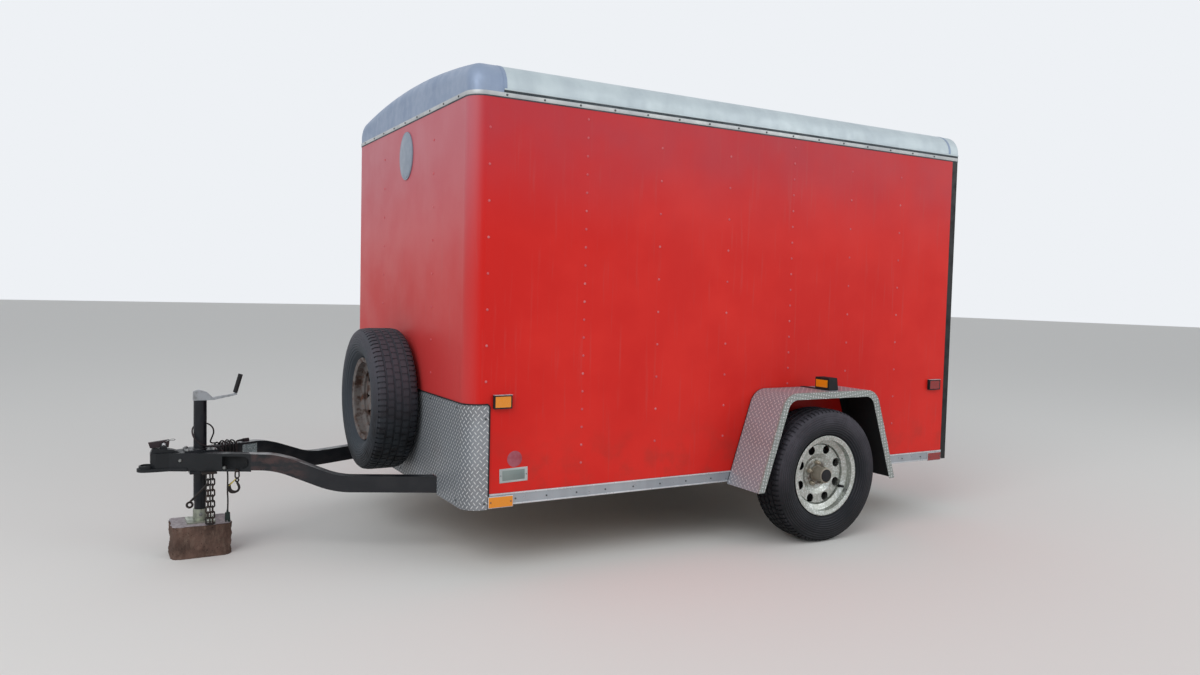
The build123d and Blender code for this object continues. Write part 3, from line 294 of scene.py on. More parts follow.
# Split garden-wall block of cast concrete: a pale smooth top and brown sides with a vertical grain
def splitStone(name, top):
    pale = ("ease", ("Z",), top - 0.0035, top - 0.0015)
    rough = ("SUBTRACT", 1, ("MULTIPLY", pale, 0.85))
    newMaterial(
        name, "#5a4b42", 0.92, specular=0.2,
        colour=layered(
            "#52423b", (patches(12, 6, 0.3, 0.7), "#745c52"),
            (patches(60, 5, 0.45, 0.7, 0, 0.7, (1, 1, 0.25)), "#7b675c"),
            (patches(130, 4, 0.58, 0.72, 0, 0.8), "#2e2522"),
            (pale, ("mix", patches(90, 6, 0.35, 0.7), "#b3acb0", "#8e868a"))),
        bump=("bump", ("MULTIPLY", ("noise", 55, 8, ("stretch", (1, 1, 0.5)), 0.7), rough), 0.012))


def middleOf(name):
    low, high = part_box(name)
    return Vector([(a + b) / 2 for a, b in zip(low, high)])


# Where the tread plate's patterns run, and where its sheet differs
fenderLow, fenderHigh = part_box("fender_left")
guardLow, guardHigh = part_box("stone_guard")
fenderMiddle = (fenderLow.x + fenderHigh.x) / 2
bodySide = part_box("left_wall")[1].y
outward = ("ABSOLUTE", ("Y",))
fromAxle = ("ABSOLUTE", ("SUBTRACT", ("X",), fenderMiddle))
# Round the fender's bend, and out from the body over the sheet and down over its turned lip
fenderRun = ("SUBTRACT", fromAxle, ("MULTIPLY", ("Z",), 0.75))
onLip = ("ease", outward, fenderHigh.y - 0.006, fenderHigh.y - 0.003)
fenderAcross = ("ADD", ("Y",), ("MULTIPLY", onLip, ("ADD", ("MULTIPLY", fromAxle, 0.75), ("Z",))))
# The turned lip, in a darker and greener tone, and the inner flange against the body, painted black as the
# shade in the crease there
fenderLip = ("ease", outward, fenderHigh.y - 0.016, fenderHigh.y - 0.004, 0, 0.8)
fenderFlangePaintedShade = ("ease", outward, bodySide + 0.0085, bodySide + 0.0065)
# Across the guard's front and back along its side; its front is darker, a painted shade behind the spare
# wheel
guardRun = ("SUBTRACT", outward, ("X",))
guardFrontPaintedShade = ("ease", ("X",), guardHigh.x - 0.05, guardHigh.x - 0.01, 0, 0.8)
wheelCentre, spareCentre = middleOf("tyre_left"), middleOf("spare_tyre")
spareGrowth, spareWidening = 359.0 / 344.5, 223.0 / 205.0      # the spare's size over the road tyres'

finishes = {
    # The front wall's copy of the enamel carries a painted reflection of the sky
    chalkedEnamel: [("chalkedRedEnamel", False), ("chalkedRedEnamelFront", True)],
    weatheredAluminium: [
        ("weatheredRoofAluminium", "#c4d0d4", "#b5c1c7"), ("weatheredCapAluminium", "#8797b0", "#96a4ba"),
        ("extrudedTrimAluminium", "#aab0b6", "#959ba2", 0.35), ("agedHubCap", "#aaa396", "#80776a", 0.5),
        ("extrudedFlangeAluminium", "#c3c6c6", "#a9adb0", 0.45),
        ("brightEdgeAluminium", "#d3d6d9", "#b9bdc1", 0.3), ("etchedDataPlate", "#b9c0bf", "#a4abab", 0.4),
        ("castBadge", "#8f9aa8", "#7d8898", 0.4), ("etchedPlateField", "#788583", "#8b9693", 0.5)],
    treadPlate: [
        # The fender's black band next to the body is painted shade in the crease
        ("treadPlateFender", fenderRun, fenderAcross, "#959aa3", "#8f968f", fenderLip,
         (fenderFlangePaintedShade, "#131315")),
        # The guard's darker front, #6a7077, is painted shade behind the spare wheel
        ("treadPlateGuard", guardRun, ("Z",), "#8f9398", "#6a7077", guardFrontPaintedShade)],
    dustyEnamel: [
        ("blackFrameEnamel", "#15171a", "#3a3029", 0.5), ("blackJackEnamel", "#090d14", "#161b22", 0.5, 0.3),
        ("blackCouplerEnamel", "#0e1216", "#25262a", 0.45),
        ("rustyLatchEnamel", "#2a2026", "#3f2c28", 0.7, 0.6),
        ("blackUndercoat", "#101113", "#1b1a1a", 0.5, 0.8), ("blackPostEnamel", "#0a0b0e", "#141518", 0.3),
        ("rustedChainSteel", "#1d1918", "#3d2c22", 0.7, 0.6),
        # The rivet heads' paler enamel is a painted highlight
        ("chalkedRivetEnamel", "#c9525a", "#d98a8c", 0.8, 0.5)],
    beamEnamel: [("blackBeamEnamel",)],
    zincPlate: [
        ("zincPlating", "#8b8d8c", 0.45), ("brassySpringWire", "#bda94f", 0.3),
        ("zincCrank", "#a3a7ac", 0.3), ("galvanisedFoot", "#a5aa9c", 0.6),
        ("tarnishedScrew", "#565a5c", 0.9), ("rustyLugNut", "#b0a594", 0.9)],
    galvanisedWheel: [("galvanisedWheel", wheelCentre)],
    rustedSilver: [("rustedSilverWheel",)],
    ringedRubber: [("fadedTyreRubber", wheelCentre, 1, "#12151b"),
                   ("fadedSpareRubber", spareCentre, 0, "#363d44", spareGrowth)],
    fadedRubber: [
        ("mouldedPlugRubber", "#16211f", "#24312f"), ("blackLeadSheath", "#141315", "#362a2d"),
        # The grey butyl strips are painted shadow under the roof's flange and in its groove
        ("mouldedBlackPlastic", "#18181a", "#242427"), ("greyButylSealant", "#3c4348", "#555d62"),
        ("paleRoofSealant", "#b4b8b8", "#9fa4a5"), ("fadedVinylDisc", "#a9606d", "#963f4b")],
    wornPlywood: [("wornPlywood",), ("lauanWallLiner",)],
    mouldedLens: [("amberAcrylicLens", "#ea8f15"), ("redAcrylicLens", "#8f1414")],
    splitStone: [("splitConcreteBlock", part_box("foot_block")[1].z)],
    speckledLabel: [("wornBlankLabel",)],
}
nodeFinish = {
    "chalkedRedEnamel": ["left_wall", "right_wall", "rear_door_left", "rear_door_right", "side_door"],
    "chalkedRedEnamelFront": ["front_wall"],
    "weatheredRoofAluminium": ["roof_coves", "roof_panel", "rear_header_cap"],
    "weatheredCapAluminium": ["front_cap"],
    "treadPlateFender": ["fender_left", "fender_right"],
    "treadPlateGuard": ["stone_guard"],
    "extrudedTrimAluminium": ["rail_trims"],
    "blackFrameEnamel": ["frame_rails", "cross_frame", "torsion_axle", "spare_bracket"],
    "blackBeamEnamel": ["tongue_beams"],
    "blackJackEnamel": ["jack_tube", "jack_leg"],
    "blackCouplerEnamel": ["coupler"],
    "rustyLatchEnamel": ["coupler_latch"],
    "blackPostEnamel": ["rear_frame"],
    "zincPlating": ["door_hinges", "rear_door_gear_left", "rear_door_gear_right", "side_door_gear"],
    "zincCrank": ["jack_crank"],
    "agedHubCap": ["hub_left", "hub_right"],
    "galvanisedFoot": ["jack_foot"],
    "rustedChainSteel": ["safety_chains"],
    "galvanisedWheel": ["wheel_left", "wheel_right"],
    "rustedSilverWheel": ["spare_wheel"],
    "fadedTyreRubber": ["tyre_left", "tyre_right"],
    "fadedSpareRubber": ["spare_tyre"],
    "blackLeadSheath": ["lead_grommet", "lead_start", "lead_wraps", "lead_tube", "lead_plug"],
    "wornPlywood": ["floor_deck"],
    "amberAcrylicLens": ["amber_lenses"],
    "redAcrylicLens": ["red_lenses"],
    "mouldedBlackPlastic": ["fender_lamps", "crank_grip"],
    "splitConcreteBlock": ["foot_block"],
}


def finishNodes():
    for makeFinish, rows in finishes.items():
        for row in rows:
            makeFinish(*row)
    for finish, names in nodeFinish.items():
        for name in names:
            for held in nodes[name].material_slots:
                held.material = materials[finish]


finishNodes()
print("materials made and laid on the nodes")


# Studio: a pale floor, a soft key from the left of the camera, a fill and an even sky
studio = {"floor": "#e6e5e2", "floorSize": 120, "floorRoughness": 0.9, "sky": "#eef1f5", "skyLight": 0.6,
          "lamps": {"keyLight": ((7.5, 5.5, 7.0), 420), "fillLight": ((-6.0, 7.0, 5.0), 168)},
          "lampSize": 7, "aim": (0, 0, 1)}


def addStudio():
    bpy.ops.mesh.primitive_plane_add(size=studio["floorSize"], location=(0, 0, 0))
    floor = bpy.context.object
    floor.name = "studioFloor"
    newMaterial("paleFloor", studio["floor"], studio["floorRoughness"])
    floor.data.materials.append(materials["paleFloor"])
    for name, (spot, power) in studio["lamps"].items():
        bpy.ops.object.light_add(type='AREA', location=spot)
        lamp = bpy.context.object
        lamp.name = name
        lamp.data.energy = power
        lamp.data.size = studio["lampSize"]
        lamp.rotation_euler = (Vector(studio["aim"]) - lamp.location).to_track_quat('-Z', 'Y').to_euler()
    world = bpy.data.worlds.new("studioSky")
    bpy.context.scene.world = world
    world.use_nodes = True
    # What is seen of the sky, straight or in a reflection, is brighter than its light
    direct = ("MAXIMUM", ("MAXIMUM", ("Is Camera Ray",), ("Is Glossy Ray",)), ("Is Transmission Ray",))
    fillInputs(world.node_tree, world.node_tree.nodes["Background"],
               {"Color": studio["sky"], "Strength": ("ease", direct, 0, 1, studio["skyLight"], 1)}, {})
    bpy.context.scene.view_settings.view_transform = 'Standard'


addStudio()
print("studio lit")


# The right tongue beam's end, in plan, and how far both beams lean from straight ahead
armLean = radians(25.0)
armEnd = (1.7220, -0.1628)
bothSides = (("left", 1), ("right", -1))
outwards = {"left": (-pi / 2, 0, 0), "right": (pi / 2, 0, 0), "front": (0, pi / 2, 0),
            "rear": (0, -pi / 2, 0), "up": (0, 0, 0),
            "leftArm": (-pi / 2, 0, -armLean), "rightArm": (pi / 2, 0, armLean)}
facing = 0.9      # a face looks a certain way when its normal goes at least so far that way
headForm = {"taper": 0.92, "foot": 0.6, "crown": 0.62}      # shares of a fastener head's radius and height


# Making and placing pieces
def deselectAll():
    if bpy.context.object and bpy.context.object.mode == 'EDIT':
        bpy.ops.object.mode_set(mode='OBJECT')
    bpy.ops.object.select_all(action='DESELECT')


def joinPieces(parts):
    # Leaves the joined piece, or the only one, selected and active
    deselectAll()
    for part in parts:
        part.select_set(True)
    bpy.context.view_layer.objects.active = parts[0]
    if len(parts) > 1:
        bpy.ops.object.join()
    return parts[0]


def finishPiece(parts, name, finish, slotName, body="trailer", smooth=35):
    piece = joinPieces(parts)
    bpy.ops.object.transform_apply(location=True, rotation=True, scale=True)
    if smooth:
        bpy.ops.object.shade_smooth_by_angle(angle=radians(smooth))
    piece.name = name
    piece.data.materials.clear()
    piece.data.materials.append(materials[finish])
    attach(piece, body)
    deselectAll()
    return piece


def repeatAt(piece, places):
    # Places are (location, rotation); each copy has its own mesh
    made = []
    for location, rotation in places:
        copy = piece.copy()
        copy.data = piece.data.copy()
        copy.location = location
        copy.rotation_euler = rotation
        bpy.context.scene.collection.objects.link(copy)
        made.append(copy)
    bpy.data.objects.remove(piece)
    return joinPieces(made)


def applyModifier(piece, kind, **settings):
    bpy.ops.object.modifier_add(type=kind)
    modifier = piece.modifiers[-1]
    for setting, value in settings.items():
        setattr(modifier, setting, value)
    bpy.ops.object.modifier_apply(modifier=modifier.name)


def bevelEdges(piece, width):
    joinPieces([piece])
    bpy.ops.object.transform_apply(location=False, rotation=False, scale=True)
    applyModifier(piece, 'BEVEL', width=width, segments=2)
    return piece


def addBox(middle, size, bevel=0.0):
    deselectAll()
    bpy.ops.mesh.primitive_cube_add(size=1, location=middle, scale=size)
    box = bpy.context.object
    return bevelEdges(box, bevel) if bevel else box


def addBlock(low, high, bevel=0.0):
    # A box between two corners
    return addBox([(a + b) / 2 for a, b in zip(low, high)], [b - a for a, b in zip(low, high)], bevel)


def selectWhere(piece, kind, chosen):
    # Selects the piece's vertices, edges or faces by place, and goes to edit mode
    for group in (piece.data.vertices, piece.data.edges, piece.data.polygons):
        for item in group:
            item.select = False
    bpy.ops.object.mode_set(mode='EDIT')
    bpy.ops.mesh.select_mode(type={"vertices": 'VERT', "edges": 'EDGE', "polygons": 'FACE'}[kind])
    bpy.ops.object.mode_set(mode='OBJECT')
    for item in getattr(piece.data, kind):
        item.select = chosen(item)
    bpy.ops.object.mode_set(mode='EDIT')


def edgeEnds(piece, edge):
    return [piece.data.vertices[index].co for index in edge.vertices]


def sinkFaces(piece, chosen, *steps):
    # Insets the chosen faces and moves them, once for each step of (inset, move)
    selectWhere(piece, "polygons", chosen)
    for inset, move in steps:
        bpy.ops.mesh.inset(thickness=inset)
        bpy.ops.transform.translate(value=move)
    bpy.ops.object.mode_set(mode='OBJECT')


def addRibbon(route, width, depth, bevel=0.0):
    # A flat bar along a route of corners. Route direction crossed with width points into
    # what carries the bar, and the bar grows the other way by depth
    deselectAll()
    route = [Vector(point) for point in route]
    along, across = route[1] - route[0], Vector(width)
    bpy.ops.mesh.primitive_plane_add(size=1)
    ribbon = bpy.context.object
    turn = Matrix((along.normalized(), across.normalized(), along.cross(across).normalized())).transposed()
    middle = (route[0] + route[1] + across) / 2
    ribbon.matrix_world = Matrix.Translation(middle) @ turn.to_4x4() @ Matrix.Diagonal(
        (along.length, across.length, 1, 1))
    selectWhere(ribbon, "vertices", lambda vertex: vertex.co.x > 0)
    for here, there in zip(route[1:], route[2:]):
        bpy.ops.mesh.extrude_edges_move(TRANSFORM_OT_translate={"value": there - here})
    bpy.ops.object.mode_set(mode='OBJECT')
    bpy.ops.object.transform_apply(location=True, rotation=True, scale=True)
    applyModifier(ribbon, 'SOLIDIFY', thickness=depth, offset=-1, use_even_offset=True)
    return bevelEdges(ribbon, bevel) if bevel else ribbon


def addStrip(back, front, y, z, width, depth, bevel=0.0):
    # A flat bar along one side of the trailer, at y to the left or -y to the right
    ends = [(back, y, z), (front, y, z)]
    return addRibbon(ends if y > 0 else ends[::-1], width, depth, bevel)


def addRod(start, end, radius, sides=16, endRadius=None, rim=0.0):
    # A round bar between two points, tapered if endRadius is given, its rims broken
    deselectAll()
    start, end = Vector(start), Vector(end)
    bpy.ops.mesh.primitive_cone_add(
        vertices=sides, radius1=radius, radius2=radius if endRadius is None else endRadius,
        depth=(end - start).length, location=(start + end) / 2,
        rotation=(end - start).to_track_quat('Z', 'Y').to_euler())
    rod = bpy.context.object
    return bevelEdges(rod, rim) if rim else rod


def addRods(x, y, z, sign, rows):
    # Round bars out across the trailer: each row is near and far from y, radius, sides, end radius and rim
    return [addRod((x, y + sign * near, z), (x, y + sign * far, z), *row) for near, far, *row in rows]


def addLathe(centre, axis, rows, sides):
    # A ring turned from a closed loop of (across, radius) rows, about X where axis is 0 and Y where it is 1
    deselectAll()
    start = Vector(centre)
    start[axis] += rows[0][0]
    turn = (0, pi / 2, 0) if axis == 0 else (pi / 2, 0, 0)
    bpy.ops.mesh.primitive_circle_add(vertices=sides, radius=rows[0][1], location=start, rotation=turn)
    ring = bpy.context.object
    bpy.ops.object.transform_apply(location=True, rotation=True, scale=True)
    bpy.ops.object.mode_set(mode='EDIT')
    bpy.ops.mesh.select_mode(type='EDGE')
    bpy.ops.mesh.select_all(action='SELECT')
    for (across, radius), (nextAcross, nextRadius) in zip(rows, rows[1:]):
        move = [0, 0, 0]
        move[axis] = nextAcross - across
        bpy.ops.mesh.extrude_edges_move(TRANSFORM_OT_translate={"value": move})
        scale = [nextRadius / radius] * 3
        scale[axis] = 1
        bpy.ops.transform.resize(value=scale)
    bpy.ops.mesh.select_all(action='DESELECT')
    bpy.ops.mesh.select_non_manifold()
    bpy.ops.mesh.bridge_edge_loops()
    bpy.ops.mesh.select_all(action='SELECT')
    bpy.ops.mesh.normals_make_consistent(inside=False)
    bpy.ops.object.mode_set(mode='OBJECT')
    return ring


def addLoop(centre, turn, major, minor, stretch=0.0, sides=16):
    # A round-wire ring, its two halves drawn apart along its own Y to make a chain's link
    deselectAll()
    bpy.ops.mesh.primitive_torus_add(major_radius=major, minor_radius=minor, major_segments=sides,
                                     minor_segments=6)
    loop = bpy.context.object
    if stretch:
        selectWhere(loop, "vertices", lambda vertex: vertex.co.y > 0.0001)
        bpy.ops.transform.translate(value=(0, stretch, 0))
        bpy.ops.object.mode_set(mode='OBJECT')
    loop.location = centre
    loop.rotation_euler = turn
    return loop


def addHeads(places, radius, height, sides=8):
    # Fastener heads: a short cone with a smaller crown pulled up, repeated at (place, side) pairs
    deselectAll()
    foot = height * headForm["foot"]
    bpy.ops.mesh.primitive_cone_add(vertices=sides, radius1=radius, radius2=radius * headForm["taper"],
                                    depth=foot, location=(0, 0, foot / 2))
    head = bpy.context.object
    bpy.ops.object.transform_apply(location=True, rotation=False, scale=False)
    selectWhere(head, "polygons", lambda face: face.normal.z > facing)
    bpy.ops.mesh.extrude_region_move(TRANSFORM_OT_translate={"value": (0, 0, height - foot)})
    bpy.ops.transform.resize(value=(headForm["crown"], headForm["crown"], 1))
    bpy.ops.object.mode_set(mode='OBJECT')
    return repeatAt(head, [(spot, outwards[side]) for spot, side in places])


def addScrews(places, name, size, body="trailer"):
    finishPiece([addHeads(places, *size)], name, "tarnishedScrew", "zinc_steel", body)


def newCurve(name, points, radius, closed=False, resolution=4, roundness=2):
    # Cord or bent wire as a curve, smooth near its points
    curve = bpy.data.curves.new(name, 'CURVE')
    curve.dimensions = '3D'
    spline = curve.splines.new('NURBS')
    spline.points.add(len(points) - 1)
    for point, spot in zip(spline.points, points):
        point.co = (*spot, 1)
    spline.order_u = 3
    spline.use_endpoint_u = True
    if closed:
        spline.use_endpoint_u = False
        spline.use_cyclic_u = True
    spline.resolution_u = resolution
    curve.bevel_depth = radius
    curve.bevel_resolution = roundness
    curve.use_fill_caps = not closed
    line = bpy.data.objects.new(name, curve)
    bpy.context.scene.collection.objects.link(line)
    return line


def addWire(points, radius, closed=False, resolution=4):
    # Bent wire or a weld's bead as a mesh
    joinPieces([newCurve("wire", points, radius, closed, resolution)])
    bpy.ops.object.convert(target='MESH')
    return bpy.context.object


# Lighting lead: one cord from its grommet, round the coupler's arm, over the jack's plate to its plug.
# Its start, the end of its turns, its boot and the label are given along the arm, aside of it and above it
lead = {
    "diameter": 0.007,
    "length": 2.76,
    "turns": 7,
    "stepsPerTurn": 14,
    "armTop": 0.482,
    "armHalfWidth": 0.0255,
    "armHalfHeight": 0.041,
    "air": 0.0045,                # from the arm to the lead's middle, and a little more under the arm
    "under": 0.002,
    "squareness": 3.2,
    "wander": 0.005,
    "wanderWave": (2.3, 1.0),     # radians to a turn, and at the start
    "wind": (0.026, 0.114),       # along the arm, where the turns start and end
    "slack": (0.001, 0.0045, 0.0015, 0.005, 0.001, 0.0048, 0.002, 0.003),
    "heap": (0.005, 0.011, 0.006, 0.014, 0.0065, 0.013, 0.0055, 0.009),
    "start": ((-0.020, 0, 0.008), (-0.006, 0, 0.008), (0.010, 0.004, 0.010)),
    "leave": ((0.116, 0.006, 0.013), (0.147, 0.006, 0.013)),
    "route": (
        (1.866, -0.072, 0.506), (1.860, -0.051, 0.530), (1.850, -0.042, 0.560), (1.862, -0.042, 0.590),
        (1.892, -0.050, 0.604), (1.930, -0.050, 0.598), (1.951, -0.016, 0.580), (1.949, 0.030, 0.550),
        (1.928, 0.046, 0.522), (1.890, 0.046, 0.504), (1.857, 0.037, 0.503), (1.831, 0.039, 0.494),
        (1.819, 0.049, 0.463), (1.812, 0.062, 0.425), (1.806, 0.080, 0.388), (1.808, 0.104, 0.352),
        (1.812, 0.119, 0.308), (1.809, 0.123, 0.256), (1.811, 0.121, 0.205)),
    "boot": ((-0.021, 0, 0.008), (0.005, 0, 0.0085), 0.0068, 16, 0.0041),
    "plug": (0.024, 0.012, 0.036),      # a flat four-way plug, wide across the trailer's side view
    "plugTaper": (0.88, 0.92, 1),
    "plugEdge": 0.002,
    "plugBoot": (0.013, -0.003, 0.0041, 16, 0.0058),
    "pins": ((-0.003, 0.009, 0.0023, 12, None, 0.0005), (0.003, 0.009, 0.0023, 12, None, 0.0005),
             (0.009, 0.009, 0.0023, 12, None, 0.0005), (-0.0085, 0.010, 0.0036, 14, None, 0.0008)),
    "pinRoot": 0.001,
    "label": ((-0.081, 0.0256, -0.058), (-0.001, 0.0256, -0.058)),
    "labelHeight": 0.047,
    "labelSheet": 0.0008,
}


def armPoint(run, aside, rise):
    # A point beside the right arm: along it, in towards the middle, above its top
    return (armEnd[0] + run * cos(armLean) - aside * sin(armLean),
            armEnd[1] + run * sin(armLean) + aside * cos(armLean), lead["armTop"] + rise)


def turnPoints():
    # A squarish helix round the arm, looser in places, heaped on top and wandering along it
    points = []
    first, last = lead["wind"]
    count = lead["turns"] * lead["stepsPerTurn"]
    square = lead["squareness"]
    rate, phase = lead["wanderWave"]
    for i in range(1, count):
        turn = i / lead["stepsPerTurn"]
        whole, part = int(turn), turn - int(turn)
        slack, heap = [lead[key][whole] * (1 - part) + lead[key][whole + 1] * part
                       for key in ("slack", "heap")]
        angle = pi / 2 - 2 * pi * turn
        aside, rise = cos(angle), sin(angle)
        halfWide = lead["armHalfWidth"] + lead["air"] + slack
        halfHigh = lead["armHalfHeight"] + lead["air"] + (heap if rise > 0 else lead["under"])
        squarer = (abs(aside) ** square + abs(rise) ** square) ** (-1 / square)
        wander = lead["wander"] * sin(rate * turn + phase) * sin(2 * pi * part)
        points.append(armPoint(first + (last - first) * i / count + wander, aside * squarer * halfWide,
                               rise * squarer * halfHigh - lead["armHalfHeight"]))
    return points


def addLead():
    points = [armPoint(*spot) for spot in lead["start"]] + turnPoints()
    points += [armPoint(*spot) for spot in lead["leave"]] + list(lead["route"])
    piece = newCurve("lightingLead", points, lead["diameter"] / 2, resolution=6, roundness=3)
    piece.data.materials.append(materials["blackLeadSheath"])
    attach(piece, "trailer")
    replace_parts(piece, "lead_start", "lead_wraps", "lead_tube")
    plug = addLeadPlug(Vector(points[-1]))
    start, end, *size = lead["boot"]
    boot = finishPiece([addRod(armPoint(*start), armPoint(*end), *size)], "leadBoot", "blackLeadSheath",
                       "cord_rubber")
    deselectAll()


def addLeadPlug(top):
    wide, thick, tall = lead["plug"]
    rise, drop, *size = lead["plugBoot"]
    boot = addRod(top + Vector((0, 0, rise)), top + Vector((0, 0, drop)), *size)
    head = addBlock(top - Vector((wide / 2, thick / 2, tall)), top + Vector((wide / 2, thick / 2, 0)))
    selectWhere(head, "polygons", lambda face: face.normal.z > facing)
    bpy.ops.transform.resize(value=lead["plugTaper"])
    bpy.ops.object.mode_set(mode='OBJECT')
    parts = [boot, bevelEdges(head, lead["plugEdge"])]
    foot = top.z - tall
    for offset, length, *size in lead["pins"]:
        x = top.x + offset
        parts.append(addRod((x, top.y, foot + lead["pinRoot"]), (x, top.y, foot - length), *size))
    plug = finishPiece(parts, "leadPlug", "mouldedPlugRubber", "black_plastic")
    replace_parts(plug, "lead_plug")
    return plug


def addBeamLabel():
    # A blank speckled label on the far beam's inner face, just behind the turns
    route = [armPoint(*spot) for spot in lead["label"]]
    label = addRibbon(route, (0, 0, lead["labelHeight"]), lead["labelSheet"])
    finishPiece([label], "beamLabel", "wornBlankLabel", "bright_trim", smooth=0)


addLead()
addBeamLabel()
print("lead laid")


# Tyres: a lathe of extruded rings, then the tread's slots and sipes pressed in
roadTyre = {
    "segments": 240,
    "rows": (                     # across from the middle, radius, metres
        (0.0600, 0.1990), (0.0680, 0.2085), (0.0770, 0.2150), (0.0880, 0.2260), (0.0965, 0.2420),
        (0.1015, 0.2620), (0.1015, 0.2760), (0.1000, 0.2900), (0.0985, 0.2930), (0.0975, 0.3050),
        (0.0930, 0.3200), (0.0885, 0.3310), (0.0800, 0.3385), (0.0760, 0.3405), (0.0560, 0.3440),
        (0.0545, 0.3375), (0.0475, 0.3375), (0.0460, 0.3445), (0.0210, 0.3445), (0.0195, 0.3380),
        (0.0125, 0.3380), (0.0110, 0.3445)),
    "slotDepth": 0.006,
    "slotEvery": 3,
    "slotAcross": (0.056, 0.094),
    "slotInner": 0.3255,
    "sipeDepth": 0.0035,
    "sipeEvery": 4,
    "sipeInner": 0.3435,
    "middleRib": 0.012,
    "sideRib": (0.021, 0.046),
}


def addTyre(name, node, finish, body="trailer", axis=1, growth=1.0, widening=1.0):
    # Axis is 0 for a wheel that faces forward, 1 for one that faces sideways
    centre = middleOf(node)
    half = [(across * widening, radius * growth) for across, radius in roadTyre["rows"]]
    rows = half + [(-across, radius) for across, radius in half[::-1]]
    tyre = addLathe(centre, axis, rows, roadTyre["segments"])
    for depth, chosen in (("slotDepth", inSlot), ("sipeDepth", inSipe)):
        selectWhere(tyre, "polygons", lambda face: chosen(*facePlace(face, centre, axis, growth, widening)))
        bpy.ops.mesh.extrude_region_move()
        bpy.ops.transform.shrink_fatten(value=-roadTyre[depth])
        bpy.ops.object.mode_set(mode='OBJECT')
    finishPiece([tyre], name, finish, "tyre_rubber", body, smooth=40)
    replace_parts(tyre, node)


def facePlace(face, centre, axis, growth, widening):
    # Column round the tyre, distance across and radius, of the tyre before it grew
    away = face.center - Vector(centre)
    across = away[axis] / widening
    away[axis] = 0
    angle = atan2(away.z, away[1 - axis])
    column = floor(angle / (2 * pi) * roadTyre["segments"]) % roadTyre["segments"]
    return column, across, away.length / growth


def inSlot(column, across, radius):
    # Slots across both shoulders and down onto the sidewalls
    inner, outer = roadTyre["slotAcross"]
    here = inner < abs(across) < outer and radius > roadTyre["slotInner"]
    return here and column % roadTyre["slotEvery"] == 0


def inSipe(column, across, radius):
    # Shallow sipes across the ribs, staggered from rib to rib
    step = column % roadTyre["sipeEvery"]
    if radius < roadTyre["sipeInner"]:
        return False
    if abs(across) < roadTyre["middleRib"]:
        return step == 1
    inner, outer = roadTyre["sideRib"]
    return inner < abs(across) < outer and step == (3 if across > 0 else 0)


for side in ("left", "right"):
    addTyre("roadTyre" + side.capitalize(), "tyre_" + side, "fadedTyreRubber", "wheel_" + side)
addTyre("spareTyreTread", "spare_tyre", "fadedSpareRubber", "trailer", 0, spareGrowth, spareWidening)
print("tyres made")


# Main places, read from the frame
wallLow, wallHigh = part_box("left_wall")
coveLow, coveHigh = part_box("roof_coves")
trimLow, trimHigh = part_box("rail_trims")
doorLow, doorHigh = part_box("side_door")
frontX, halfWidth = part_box("front_wall")[1][:2]
rearX, skinX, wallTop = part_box("rear_frame")[0].x, wallLow.x, wallHigh.z
cornerRadius = 0.075


def anglesFrom(first, last, steps):
    return [first + (last - first) * i / steps for i in range(steps + 1)]


def planRoute(proud, backX, steps=6):
    # Round the body in plan, clockwise from the left side's back, proud of the skin
    reach = cornerRadius + proud
    middleX, middleY = frontX - cornerRadius, halfWidth - cornerRadius
    arc = [(middleX + reach * sin(a), middleY + reach * cos(a)) for a in anglesFrom(0, pi / 2, steps)]
    left = [(backX, halfWidth + proud)] + arc
    return left + [(x, -y) for x, y in left[::-1]]


def raised(route, height):
    return [(x, y, height) for x, y in route]


def stepsDown(first, pitch, lowest):
    made = []
    here = first
    while here > lowest:
        made.append(here)
        here -= pitch
    return made


# Roof edge: a rolled lip, a dark strip painted as the shadow in the groove under it, the screwed flange, and
# a dark line painted as the shadow under the flange
roofEdge = {
    "flange": (0.0006, 0.0185, 0.0030),      # above the wall's top, height, depth
    "flangeBevel": 0.0008,
    "sealant": (-0.0045, 0.0051, 0.0014),
    "groove": (0.0191, 0.0105, 0.0010),
    "lip": (0.0296, 0.0075, 0.0050),
    "lipBevel": 0.002,
    "frontBack": 0.806,                      # the groove stops where the front cap begins
    "screws": (0.793, 0.1815),               # the first one and their pitch
    "lastScrew": 0.03,
    "frontScrews": (4, 0.19),                # on each side of the middle, and their pitch
    "screw": (0.0052, 0.0035),
}


def addRoofEdge():
    # The dark line under the flange is a painted shadow
    for part, bevel, *finish in (
            ("flange", roofEdge["flangeBevel"], "roofFlange", "extrudedFlangeAluminium", "roof_metal"),
            ("sealant", 0, "roofSealantLine", "greyButylSealant", "black_plastic")):
        rise, height, depth = roofEdge[part]
        strip = addRibbon(raised(planRoute(0, rearX), wallTop + rise), (0, 0, height), depth, bevel)
        finishPiece([strip], *finish)
    # The dark strip in the groove under the lip is a painted shadow
    for part, *finish in (("groove", "coveGroove", "greyButylSealant", "black_plastic"),
                          ("lip", "coveLip", "weatheredRoofAluminium", "roof_metal")):
        rise, height, depth = roofEdge[part]
        strips = [addStrip(rearX, roofEdge["frontBack"], y, wallTop + rise, (0, 0, height), depth)
                  for y in (halfWidth, -halfWidth)]
        if part == "lip":
            strips = [bevelEdges(joinPieces(strips), roofEdge["lipBevel"])]
        finishPiece(strips, *finish)
    rise, height, proud = roofEdge["flange"]
    middle = wallTop + rise + height / 2
    places = []
    for x in stepsDown(*roofEdge["screws"], rearX + roofEdge["lastScrew"]):
        places += [((x, sign * (halfWidth + proud), middle), side) for side, sign in bothSides]
    count, pitch = roofEdge["frontScrews"]
    places += [((frontX + proud, pitch * i, middle), "front") for i in range(-count, count + 1)]
    addScrews(places, "roofScrews", roofEdge["screw"])


